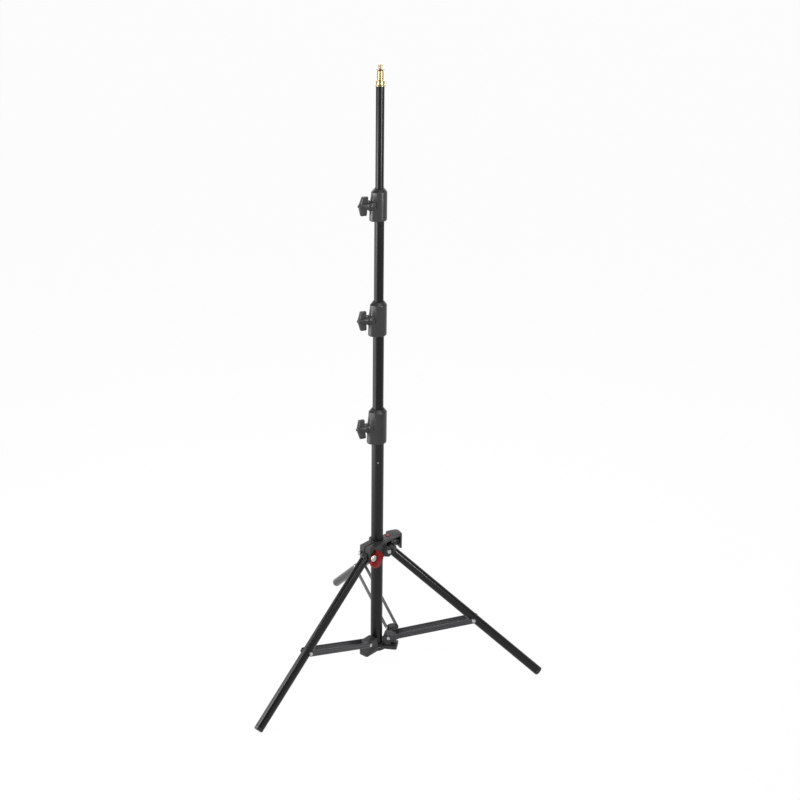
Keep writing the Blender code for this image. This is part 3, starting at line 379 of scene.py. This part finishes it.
# the four telescoping tubes with their edges broken; the widest has a duller coat
tubeLook = {"wall": 0.0015, "lip": 0.0004}
satinTube = tubeMaterial("satinTube", roughness=0.36, specular=0.26)
for node in ("base_tube", "lower_riser", "middle_riser", "top_riser"):
    low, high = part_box(node)
    profile = tubeProfile((high.x - low.x) / 2, tubeLook["wall"], tubeLook["lip"], low.z, high.z)
    place(node + "Shell", turnedSolid(profile), bodyOf[node], slotOf[node], [node],
          material=satinTube if node == "base_tube" else None)
print("tubes turned")


def legMatrix(side):
    # origin on the leg's pivot, z down the tube and x across it
    pivot = Vector(joints["leg_" + side + "_fold"]["pos_m"])
    axis = jointAxis("leg_" + side + "_fold")
    low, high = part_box("leg_" + side + "_foot")
    toFoot = (low + high) / 2 - pivot
    along = (toFoot - axis * toFoot.dot(axis)).normalized()
    return frameMatrix(pivot, -axis, along.cross(-axis), along)


# leg tubes and their pressed-in rubber feet, measured down the leg from its pivot
legLook = {"radius": 0.01255, "wall": 0.0015, "top": 0.0143, "joint": 0.5414, "end": 0.5506,
           "footRound": 0.0028, "footPlug": 0.028, "groove": 0.0004, "edge": 0.0005}


def footProfile():
    outer, inner = legLook["radius"], legLook["radius"] - legLook["wall"]
    rubber, lip = legLook["footRound"], legLook["edge"]
    start = legLook["joint"] + legLook["groove"]
    profile = [(0.0, legLook["end"])]
    profile += reversed(quarter((outer - rubber, legLook["end"] - rubber), rubber, 0.0, 6))
    profile += [(outer, start + lip), (outer - lip, start), (inner - lip, start),
                (inner - lip, start - legLook["footPlug"]), (0.0, start - legLook["footPlug"])]
    return profile


for side in sides:
    coat = tubeMaterial("drawnLeg" + side.title(), legMatrix(side).to_euler(), specular=0.28)
    profile = tubeProfile(legLook["radius"], legLook["wall"], legLook["edge"], legLook["top"],
                          legLook["joint"])
    place("leg" + side.title() + "Tube", turnedSolid(profile, placing=legMatrix(side)),
          "leg_" + side, "black_tube", ["leg_" + side], material=coat)
    place("foot" + side.title(), turnedSolid(footProfile(), placing=legMatrix(side)),
          "leg_" + side, "dark_nylon", ["leg_" + side + "_foot"])
print("legs turned")


# clamp collars: an egg-shaped body with a rounded foot and a sloped shoulder, a flared boss
# with a well for the knob, and the clamp's split running up the side
collarLook = {
    "body": {"lower": 0.0238, "middle": 0.0214, "upper": 0.0197}, "noseShare": 0.62,
    "reachFoot": 0.0072, "reachScrew": 0.0060, "reachTop": 0.0020, "reachMore": 0.0003,
    "footRound": 0.0046, "shoulder": 0.0093, "shoulderEdge": 0.0006,
    "shoulderRound": ((0.10, 0.0004), (0.22, 0.0014)), "shoulderWaist": (0.60, 0.55),
    "ring": 0.0010, "rim": 0.0009, "recess": 0.0042, "bore": 0.0002, "lowBore": 0.00215,
    "boreStep": 0.0002,
    "boss": 0.0140, "bossRound": ((0.0008, 0.0), (0.0002, 0.0003), (0.0, 0.0009)),
    "bossReach": 0.0095, "bossFlare": 0.0034, "bossCurve": 2.2, "bossFoot": 0.0120,
    "wellRadius": 0.0124, "wellRound": ((0.0, 0.0005), (-0.0004, 0.0)), "wellDepth": 0.0060,
    "wellSink": 0.0030, "wellPlay": 0.0007, "floorPlay": 0.0004,
    "splitDepth": 0.0045, "splitHalf": 0.0016,
    "split": ((0.05, 84.0), (0.34, 82.0), (0.50, 68.0), (0.62, 74.0), (0.84, 99.0)),
    "dent": 0.0009, "dentBeside": 0.006, "dentHeight": 0.024,
}


def eased(value):
    value = min(max(value, 0.0), 1.0)
    return value * value * (3.0 - 2.0 * value)


def splitTurn(share):
    # where the split lies round the collar, in degrees from the nose, at a share of the height
    path = collarLook["split"]
    for (low, first), (high, second) in zip(path, path[1:]):
        if low <= share <= high:
            return first + (second - first) * eased((share - low) / (high - low))
    return None


def collarLevels(height, drawnTop):
    # (level, how far the wall is drawn in) up the rounded foot, the wall and the shoulder
    foot, slope, corner = (collarLook[name] for name in ("footRound", "shoulder", "shoulderEdge"))
    last = height - slope
    waistShare, waistDrawn = collarLook["shoulderWaist"]
    rows = [(foot - foot * math.cos(math.radians(90.0 * i / 8)),
             foot - foot * math.sin(math.radians(90.0 * i / 8))) for i in range(9)]
    rows += [(foot + (last - foot) * i / 64, 0.0) for i in range(1, 65)]
    rows += [(last + slope * share, drawn) for share, drawn in collarLook["shoulderRound"]]
    rows += [(last + slope * waistShare, drawnTop * waistDrawn),
             (height - corner, drawnTop - corner), (height, drawnTop + 0.0001)]
    return rows


def noseReach(level, height, screw):
    # how far the nose stands out: most at the foot, and nothing at the top
    last = height - collarLook["shoulder"]
    atFoot, atScrew, atTop = (collarLook[name] for name in ("reachFoot", "reachScrew", "reachTop"))
    if level < screw:
        reach = atFoot + (atScrew - atFoot) * level / screw
    else:
        reach = atScrew + (atTop - atScrew) * eased((level - screw) / (last - screw))
    return reach * (1.0 - eased((level - last) / collarLook["shoulder"])) + collarLook["reachMore"]


def collarRing(solid, turns, level, radius, reach, split, screw, floor):
    # one level of the wall: a circle with a nose, cut in at the split and flat under the well
    look = collarLook
    nose = radius * look["noseShare"]
    distance = radius - nose + reach
    lean = math.degrees(math.acos((radius - nose) / distance))
    ring = []
    for turn in turns:
        angle = math.radians(turn)
        if min(turn, 360.0 - turn) <= lean:
            x, y = nose * math.sin(angle), distance + nose * math.cos(angle)
        else:
            x, y = radius * math.sin(angle), radius * math.cos(angle)
        if split is not None:
            beside = math.radians(turn - split) * radius
            cut = look["splitDepth"] * max(0.0, 1.0 - (beside / look["splitHalf"]) ** 4)
            # the wall dips a little between the boss and the split
            cut += look["dent"] * eased(
                1.0 - abs(beside + look["dentBeside"]) / look["dentBeside"]) * eased(
                1.0 - abs(level - screw) / look["dentHeight"])
            x -= math.sin(angle) * cut
            y -= math.cos(angle) * cut
        if y > 0.0 and math.hypot(x, level - screw) < look["wellRadius"] + look["wellPlay"]:
            y = min(y, floor - look["floorPlay"])
        ring.append(solid.verts.new((x, y, level)))
    return ring


def bossProfile(end, floor):
    # from the well's floor over the rim and down the flared flank
    look = collarLook
    profile = [(look["wellRadius"], floor - look["wellSink"])]
    profile += softCorner(look["wellRadius"], end, look["wellRound"])
    profile += softCorner(look["boss"], end, look["bossRound"])
    flankTop = profile[-1][1]
    for i in range(1, 9):
        share = i / 8
        profile.append((look["boss"] + look["bossFlare"] * share ** look["bossCurve"],
                        flankTop - look["bossFoot"] * share))
    return profile


def collarSolid(name, tube):
    look = collarLook
    low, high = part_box(name + "_collar")
    height = high.z - low.z
    body = look["body"][name]
    screw = joints[name + "_knob_turn"]["pos_m"][2] - low.z
    topRadius = tube + look["ring"] + look["rim"]
    end = body + look["bossReach"]
    floor = end - look["wellDepth"]
    # degrees round the collar, closer together where the split runs
    turns = [t * 4.0 for t in range(15)] + [60.0 + t * 0.5 for t in range(100)]
    turns += [110.0 + t * 4.0 for t in range(63)]
    solid = bmesh.new()
    rings = [collarRing(solid, turns, level, body - drawn, noseReach(level, height, screw),
                        splitTurn(level / height), screw, floor)
             for level, drawn in collarLevels(height, body - topRadius)]
    mouth, bore, lowBore = tube + look["ring"], tube + look["bore"], tube + look["lowBore"]
    step = look["boreStep"]
    inner = [(mouth, height), (mouth, height - look["recess"]),
             (bore, height - look["recess"] - step), (bore, height * 0.5),
             (lowBore, height * 0.5 - step), (lowBore, 0.0)]
    for radius, level in inner:
        rings.append([solid.verts.new((radius * math.sin(math.radians(t)),
                                       radius * math.cos(math.radians(t)), level))
                      for t in turns])
    rings.append(rings[0])
    for lower, upper in zip(rings, rings[1:]):
        for i in range(len(turns)):
            j = (i + 1) % len(turns)
            solid.faces.new((lower[i], lower[j], upper[j], upper[i]))
    outward = Matrix.Translation((0.0, 0.0, screw)) @ Matrix.Rotation(-math.pi / 2, 4, "X")
    addSolid(solid, turnedSolid(bossProfile(end, floor), placing=outward))
    axis = joints[name + "_knob_turn"]["axis"]
    turned = Matrix.Rotation(math.atan2(-axis[0], axis[1]), 4, "Z")
    bmesh.ops.transform(solid, matrix=Matrix.Translation((0.0, 0.0, low.z)) @ turned,
                        verts=solid.verts)
    return solid


tubeOver = {"lower": "lower_riser", "middle": "middle_riser", "upper": "top_riser"}
for name, node in tubeOver.items():
    low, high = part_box(node)
    place(name + "CollarBody", collarSolid(name, (high.x - low.x) / 2), bodyOf[name + "_collar"],
          "black_moulding", [name + "_collar"], angle=38.0)
print("collars moulded")


# wing knobs: a tapered hub with a pip, and two swept wings with sunk faces
knobLook = {"base": 0.0028, "length": 0.0338, "foot": 0.0115, "footEdge": 0.0005,
            "pip": 0.0030, "pipHeight": 0.0030, "pipFillet": 0.0004,
            "pipRound": ((0.0008, 0.0), (0.0002, 0.0003), (0.0, 0.0008)),
            "tip": 0.0068,
            "tipRound": ((0.0022, 0.0), (0.0009, 0.0004), (0.0002, 0.0014), (0.0, 0.0026)),
            "skirt": 0.0045, "skirtEdge": 0.0010, "belly": 0.0007, "flare": 0.0006,
            "span": 0.0520, "width": 0.0175, "sweep": 0.0050, "thick": 0.0066, "drop": 0.0005,
            "corner": 0.0030, "root": 0.0060, "edge": 0.0010, "border": 0.0026,
            "slope": 0.0006, "sink": 0.0009,
            "turn": {"lower": 101.5, "middle": 92.5, "upper": 80.0}}


def knobProfile(shoulder, tip):
    # the pip, the hub's rounded tip, its slightly full flank and the skirt at its foot
    look = knobLook
    wide, foot, base, skirt = look["tip"], look["foot"], look["base"], look["base"] + look["skirt"]
    fillet = look["pipFillet"]
    profile = [(0.0, tip)] + softCorner(look["pip"], tip, look["pipRound"])
    profile += [(look["pip"], shoulder + fillet), (look["pip"] + fillet, shoulder)]
    profile += softCorner(wide, shoulder, look["tipRound"])
    flankTop, flankFoot = profile[-1][1], skirt + look["skirtEdge"]
    for i in range(1, 9):
        share = i / 8
        profile.append((wide + (foot - wide - look["flare"]) * share
                        + look["belly"] * math.sin(math.pi * share),
                        flankTop + (flankFoot - flankTop) * share))
    profile += [(foot - 0.0001, skirt), (foot, skirt - look["skirtEdge"]),
                (foot, base + look["footEdge"]), (foot - look["footEdge"], base), (0.0, base)]
    return profile


def wingSolid(shoulder):
    # both wings in one plate, its rims rounded and its faces sunk inside a border
    look = knobLook
    high = shoulder - look["drop"] - look["sweep"]
    low = high - look["width"]
    corner, root, halfThick = look["corner"], look["root"], look["thick"] / 2
    reach = look["span"] / 2 - corner
    outline = [(root, high + look["sweep"]), (-root, high + look["sweep"])]
    for x, z, start in ((-reach, high - corner, 90.0), (-reach, low + corner, 180.0),
                        (reach, low + corner, 270.0), (reach, high - corner, 0.0)):
        outline += quarter((x, z), corner, start, 5)
    wing = bmesh.new()
    face = wing.faces.new([wing.verts.new((x, -halfThick, z)) for x, z in outline])
    extruded = bmesh.ops.extrude_face_region(wing, geom=[face])
    bmesh.ops.translate(wing, vec=(0.0, look["thick"], 0.0),
                        verts=[g for g in extruded["geom"] if isinstance(g, bmesh.types.BMVert)])

    def onFace(y):
        return abs(abs(y) - halfThick) < 1e-6

    rims = [edge for edge in wing.edges if all(onFace(vert.co.y) for vert in edge.verts)
            and edge.verts[0].co.y * edge.verts[1].co.y > 0.0]
    bmesh.ops.bevel(wing, geom=rims, offset=look["edge"], segments=3, profile=0.5,
                    affect="EDGES", clamp_overlap=True, material=-1)
    flats = [flat for flat in wing.faces if onFace(flat.calc_center_median().y)]
    bmesh.ops.inset_individual(wing, faces=flats, thickness=look["border"] - look["edge"],
                               depth=0.0)
    bmesh.ops.inset_individual(wing, faces=flats, thickness=look["slope"], depth=-look["sink"])
    bmesh.ops.recalc_face_normals(wing, faces=wing.faces)
    return wing


def knobSolid(name):
    # made along z, then laid along the screw and turned to where it was left
    tip = knobLook["base"] + knobLook["length"]
    shoulder = tip - knobLook["pipHeight"]
    solid = turnedSolid(knobProfile(shoulder, tip))
    addSolid(solid, wingSolid(shoulder))
    axis, down = jointAxis(name + "_knob_turn"), Vector((0.0, 0.0, -1.0))
    laid = frameMatrix(joints[name + "_knob_turn"]["pos_m"], down.cross(axis), down, axis)
    turned = Matrix.Rotation(math.radians(knobLook["turn"][name]), 4, "Z")
    bmesh.ops.transform(solid, matrix=laid @ turned, verts=solid.verts)
    return solid


for name in tubeOver:
    place(name + "WingKnob", knobSolid(name), name + "_knob", "black_moulding", [name + "_knob"],
          angle=38.0)
print("knobs moulded")


def latheProfile(node, pivot, axis):
    # the (radius, distance) steps of a CAD node that is round about the axis
    steps = {}
    for vert in frame["nodes"][node].data.vertices:
        point = frame["nodes"][node].matrix_world @ vert.co - pivot
        distance = point.dot(axis)
        radius = (point - axis * distance).length
        steps.setdefault(round(distance, 5), set()).add(round(radius, 5))
    profile = [(0.0, min(steps))]
    for distance in sorted(steps):
        radii = sorted(r for r in steps[distance] if r > 0.0001)
        if radii and abs(radii[0] - profile[-1][0]) > abs(radii[-1] - profile[-1][0]):
            radii.reverse()
        profile += [(radius, distance) for radius in radii]
    return profile + [(0.0, max(steps))]


def domed(profile, rise):
    # both flat ends of a rivet's profile turned into low domes
    start, wide = profile[0][1], profile[1][0]
    stop, broad = profile[-1][1], profile[-2][0]
    head = [(wide * i / 6, start + rise * (i / 6) ** 2) for i in range(7)]
    tail = [(broad * i / 6, stop - rise * (i / 6) ** 2) for i in range(6, -1, -1)]
    return head + profile[2:-2] + tail


# the pivot rivets with domed heads; a bolt takes the place of the left one at the hub
rivetLook = {"rise": 0.0007, "edge": 0.0003, "angle": 40.0}
rivets = {}
for side in sides:
    for node in ("lower_rivet_" + side, "brace_" + side + "_rivet_a", "brace_" + side + "_rivet_b"):
        rivets[node] = "brace_" + side + "_fold"
    if side != "left":
        rivets["hub_rivet_" + side] = "leg_" + side + "_fold"
for node, jointName in rivets.items():
    low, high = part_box(node)
    pivot, axis = (low + high) / 2, jointAxis(jointName)
    across = axis.orthogonal().normalized()
    profile = domed(latheProfile(node, pivot, axis), rivetLook["rise"])
    solid = turnedSolid(profile, smallSteps, frameMatrix(pivot, across, axis.cross(across), axis))
    place(node + "Domed", solid, bodyOf[node], "bright_steel", [node], rivetLook["edge"],
          angle=rivetLook["angle"], material=finishes["shaded_steel"])
print("rivets turned")


# brass spigot over the top tube: plug, flange, base, straight stud and a short headed tip,
# with a loose disc under the head
spigotLook = {"plug": 0.0104, "plugLength": 0.0348, "seat": 0.0003,
              "flange": 0.0140, "flangeTop": 0.0036, "base": 0.0108, "baseTop": 0.0143,
              "stud": 0.0079, "studTop": 0.0393, "taper": 0.0024, "taperIn": 0.0016,
              "neck": 0.00420, "head": 0.00535, "headLow": 0.0462, "headEdge": 0.0008,
              "ridge": 0.0002, "pitch": 0.0013, "top": 0.05259, "chamfer": 0.0009,
              "edge": 0.0005, "baseEdge": 0.0004,
              "disc": 0.0104, "discLow": 0.0396, "discHigh": 0.0416, "discPlay": 0.0006}


def spigotProfile():
    look = spigotLook
    chamfer, edge, seat = look["chamfer"], look["edge"], look["seat"]
    plug, flange, base, stud = (look[name] for name in ("plug", "flange", "base", "stud"))
    foot, flangeTop, baseTop = -look["plugLength"], look["flangeTop"], look["baseTop"]
    head, headLow, headEdge = look["head"], look["headLow"], look["headEdge"]
    profile = [(0.0, foot), (plug - chamfer, foot), (plug, foot + chamfer), (plug, seat)]
    profile += [(flange - chamfer, seat), (flange, seat + chamfer),
                (flange, flangeTop - chamfer), (flange - chamfer, flangeTop)]
    profile += [(base + look["baseEdge"], flangeTop), (base, flangeTop + look["baseEdge"]),
                (base, baseTop - chamfer), (base - chamfer, baseTop)]
    profile += [(stud + edge, baseTop), (stud, baseTop + edge),
                (stud, look["studTop"] - look["taper"]),
                (stud - look["taperIn"], look["studTop"])]
    profile += [(look["neck"], look["studTop"]), (look["neck"], headLow), (head - edge, headLow)]
    level = headLow + edge
    while level + look["pitch"] < look["top"] - headEdge:
        profile += [(head, level), (head, level + look["pitch"] * 0.6),
                    (head - look["ridge"], level + look["pitch"] * 0.8)]
        level += look["pitch"]
    profile += [(head, level), (head, look["top"] - headEdge), (head - headEdge, look["top"]),
                (0.0, look["top"])]
    return profile


def discProfile():
    disc, inner = spigotLook["disc"], spigotLook["neck"] + spigotLook["discPlay"]
    low, high, rim = spigotLook["discLow"], spigotLook["discHigh"], spigotLook["edge"]
    return [(inner, low), (disc - rim, low), (disc, low + rim), (disc, high - rim),
            (disc - rim, high), (inner, high)]


onTopTube = Matrix.Translation((0.0, 0.0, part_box("top_riser")[1].z))
place("spigotTurned", turnedSolid(spigotProfile(), placing=onTopTube), "riser_3", "brass",
      ["spigot"], angle=28.0)
place("discTurned", turnedSolid(discProfile(), placing=onTopTube), "riser_3", "brass",
      ["spigot_disc"], material=finishes["dull_brass"])

# the small stop rivet low on the base tube, almost flush with it
stopLook = {"height": 0.577, "radius": 0.0024, "proud": 0.0002, "crown": 0.0006,
            "depth": 0.0014, "turn": 4.0}
low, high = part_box("base_tube")
facing = Matrix.Rotation(math.radians(stopLook["turn"]), 4, "Z") @ Matrix.Translation(
    (0.0, -(high.x - low.x) / 2 - stopLook["proud"], stopLook["height"])) @ Matrix.Rotation(
    math.pi / 2, 4, "X")
profile = [(stopLook["radius"] * i / 6, -stopLook["crown"] * (i / 6) ** 3) for i in range(7)]
profile += [(stopLook["radius"], -stopLook["depth"]), (0.0, -stopLook["depth"])]
place("stopRivet", turnedSolid(profile, smallSteps, facing), "mast", "bright_steel", [])
print("spigot turned")

# the sliding hub with its clamp slit opened a little at the edges
hubLook = {"slit": 0.0034, "slitFound": 0.0016, "edge": 0.0008}
pivot, axis = Vector(joints["leg_left_fold"]["pos_m"]), jointAxis("leg_left_fold")
outward = Vector((pivot.x, pivot.y, 0.0)).normalized()
solid = mergedCopy("upper_hub")
for vert in solid.verts:
    off = (vert.co - pivot).dot(axis)
    if abs(off) < hubLook["slitFound"] and vert.co.dot(outward) > 0.0:
        vert.co += axis * (math.copysign(hubLook["slit"] / 2, off) - off)
place("upperHubCast", solid, bodyOf["upper_hub"], "black_moulding", ["upper_hub"],
      hubLook["edge"], 3)

# the lever's neck drawn in under the bolt's head
leverLook = {"neckFrom": 0.0080, "neckTo": 0.0099, "drawn": 0.0019}
pivot, axis = Vector(joints["lever_turn"]["pos_m"]), jointAxis("lever_turn")
solid = mergedCopy("clamp_lever")
for vert in solid.verts:
    along = axis * (vert.co - pivot).dot(axis)
    out = vert.co - pivot - along
    if leverLook["neckFrom"] < out.length < leverLook["neckTo"]:
        vert.co = pivot + along + out * (1.0 - leverLook["drawn"] / out.length)
place("clampLeverMoulded", solid, "lever", "red_moulding", ["clamp_lever"], roundedEdge)

# the button: a small crowned plunger with a wide foot that keeps it in its well
buttonLook = {"radius": 0.0054, "crown": 0.0016, "lower": 0.0012, "foot": 0.0073,
              "footEdge": 0.0002}
low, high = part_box("release_button")
crown = quarter((buttonLook["radius"] - buttonLook["crown"],
                 high.z - buttonLook["lower"] - buttonLook["crown"]), buttonLook["crown"], 0.0, 6)
wide, shelf = (high.x - low.x) / 2, low.z + buttonLook["foot"]
profile = [(0.0, high.z - buttonLook["lower"])] + crown[::-1]
profile += [(buttonLook["radius"], shelf + buttonLook["footEdge"]), (wide, shelf), (wide, low.z),
            (0.0, low.z)]
centred = Matrix.Translation(((low.x + high.x) / 2, (low.y + high.y) / 2, 0.0))
place("releaseButtonMoulded", turnedSolid(profile, 64, centred), bodyOf["release_button"],
      "red_moulding", ["release_button"], material=finishes["button_red"])
print("hub finished")

# what is left: mostly hidden pieces only get their finish, and the rest are rounded copies
hiddenWords = ("_liner", "_piston", "_shoe", "hub_bush", "_screw")
for node, kept in frame["nodes"].items():
    if kept.hide_render:
        continue
    if node.endswith(hiddenWords):
        kept.data.materials.clear()
        kept.data.materials.append(finishes[slotOf[node]])
    else:
        place(node + "Rounded", mergedCopy(node), bodyOf[node], slotOf[node], [node], roundedEdge)
print("remaining pieces finished")

# floor, lamps and camera
floorLook = {"colour": 0.80, "mottle": 0.02, "seenShare": 0.97, "wall": 9.0, "wallTop": 6.0,
             "bend": 2.0}


def floorMaterial():
    material = bpy.data.materials.new("paleFloor")
    material.use_nodes = True
    tree = material.node_tree
    shader = tree.nodes["Principled BSDF"]
    start = Signal(tree)
    spot = start.add("ShaderNodeTexCoord", {}, {}, "Object")
    mottle = noise(spot, 3.0, 4.0)
    shade, lighter = floorLook["colour"], floorLook["colour"] + floorLook["mottle"]
    colour = blendColour(mottle, (shade, shade, shade), (lighter, lighter, lighter))
    shader.inputs["Specular IOR Level"].default_value = 0.0
    finish(shader, colour, 0.9 + mottle * 0.05)
    path = start.add("ShaderNodeLightPath", {}, {}, "Is Camera Ray")
    glossy = Signal(tree, path.socket.node.outputs["Is Glossy Ray"])
    through = Signal(tree, path.socket.node.outputs["Is Transmission Ray"])
    seen = start.maths("ADD", path + glossy, through, clamp=True) * floorLook["seenShare"]
    white = start.add("ShaderNodeEmission", {}, {"Color": (1.0, 1.0, 1.0, 1.0), "Strength": 1.0})
    mixed = start.add("ShaderNodeMixShader", {}, {0: seen, 1: Signal(tree, shader.outputs[0]),
                                                  2: white})
    output = next(node for node in tree.nodes if node.type == "OUTPUT_MATERIAL")
    tree.links.new(mixed.socket, output.inputs["Surface"])
    return material


# a round floor that turns up into a pale wall a good way off
wall, bend = floorLook["wall"], floorLook["bend"]
section = [(0.0, 0.0), (wall - bend, 0.0)]
section += [(wall - bend + bend * math.sin(math.radians(t * 7.5)),
             bend - bend * math.cos(math.radians(t * 7.5))) for t in range(1, 12)]
section += [(wall, bend), (wall, floorLook["wallTop"])]
solid = turnedSolid(section, placing=Matrix.Translation((0.0, 0.0, cadBox[0].z)))
floorMesh = bpy.data.meshes.new("studioFloor")
solid.to_mesh(floorMesh)
solid.free()
floorMesh.materials.append(floorMaterial())
studioFloor = bpy.data.objects.new("studioFloor", floorMesh)
bpy.context.scene.collection.objects.link(studioFloor)

world = bpy.data.worlds.new("studio")
bpy.context.scene.world = world
world.use_nodes = True
world.node_tree.nodes["Background"].inputs["Color"].default_value = (1.0, 1.0, 1.0, 1.0)
world.node_tree.nodes["Background"].inputs["Strength"].default_value = 0.16


def lamp(name, spot, target, width, height, power):
    light = bpy.data.lights.new(name, "AREA")
    light.shape = "RECTANGLE"
    light.size = width
    light.size_y = height
    light.energy = power
    holder = bpy.data.objects.new(name, light)
    aim = Vector(target) - Vector(spot)
    holder.matrix_world = Matrix.Translation(spot) @ aim.to_track_quat("-Z", "Y").to_matrix(
        ).to_4x4()
    bpy.context.scene.collection.objects.link(holder)


# where each lamp stands and looks, its width, height and power
lamps = {
    "leftHigh": ((-1.126, -0.65, 1.25), (0.0, 0.0, 1.25), 0.40, 0.90, 13.0),
    "leftBroad": ((-1.30, -0.30, 0.60), (0.0, 0.0, 0.45), 1.70, 1.30, 29.0),
    "rightHigh": ((0.987, -0.92, 1.45), (0.0, 0.0, 1.45), 0.30, 0.80, 19.0),
    "topFront": ((0.5, -1.30, 2.6), (0.0, 0.0, 0.9), 1.80, 1.10, 18.0),
    "topBack": ((0.0, 1.1, 2.3), (0.0, 0.0, 0.3), 2.60, 1.60, 46.0),
}
for lampName, settings in lamps.items():
    lamp(lampName, *settings)

cameraPlace = {"spot": (0.0, -3.61209, 2.18987), "down": 0.378415, "turn": 0.01617,
               "roll": 0.013054, "lens": 65.807}
lens = bpy.data.cameras.new("studioCamera")
lens.lens = cameraPlace["lens"]
lens.sensor_width = 36.0
lens.clip_end = 400.0
camera = bpy.data.objects.new("studioCamera", lens)
camera.matrix_world = (Matrix.Translation(cameraPlace["spot"])
                       @ Matrix.Rotation(-cameraPlace["turn"], 4, "Z")
                       @ Matrix.Rotation(math.pi / 2 - cameraPlace["down"], 4, "X")
                       @ Matrix.Rotation(cameraPlace["roll"], 4, "Z"))
bpy.context.scene.collection.objects.link(camera)
bpy.context.scene.camera = camera
bpy.context.scene.view_settings.view_transform = "Standard"
print("stage set")
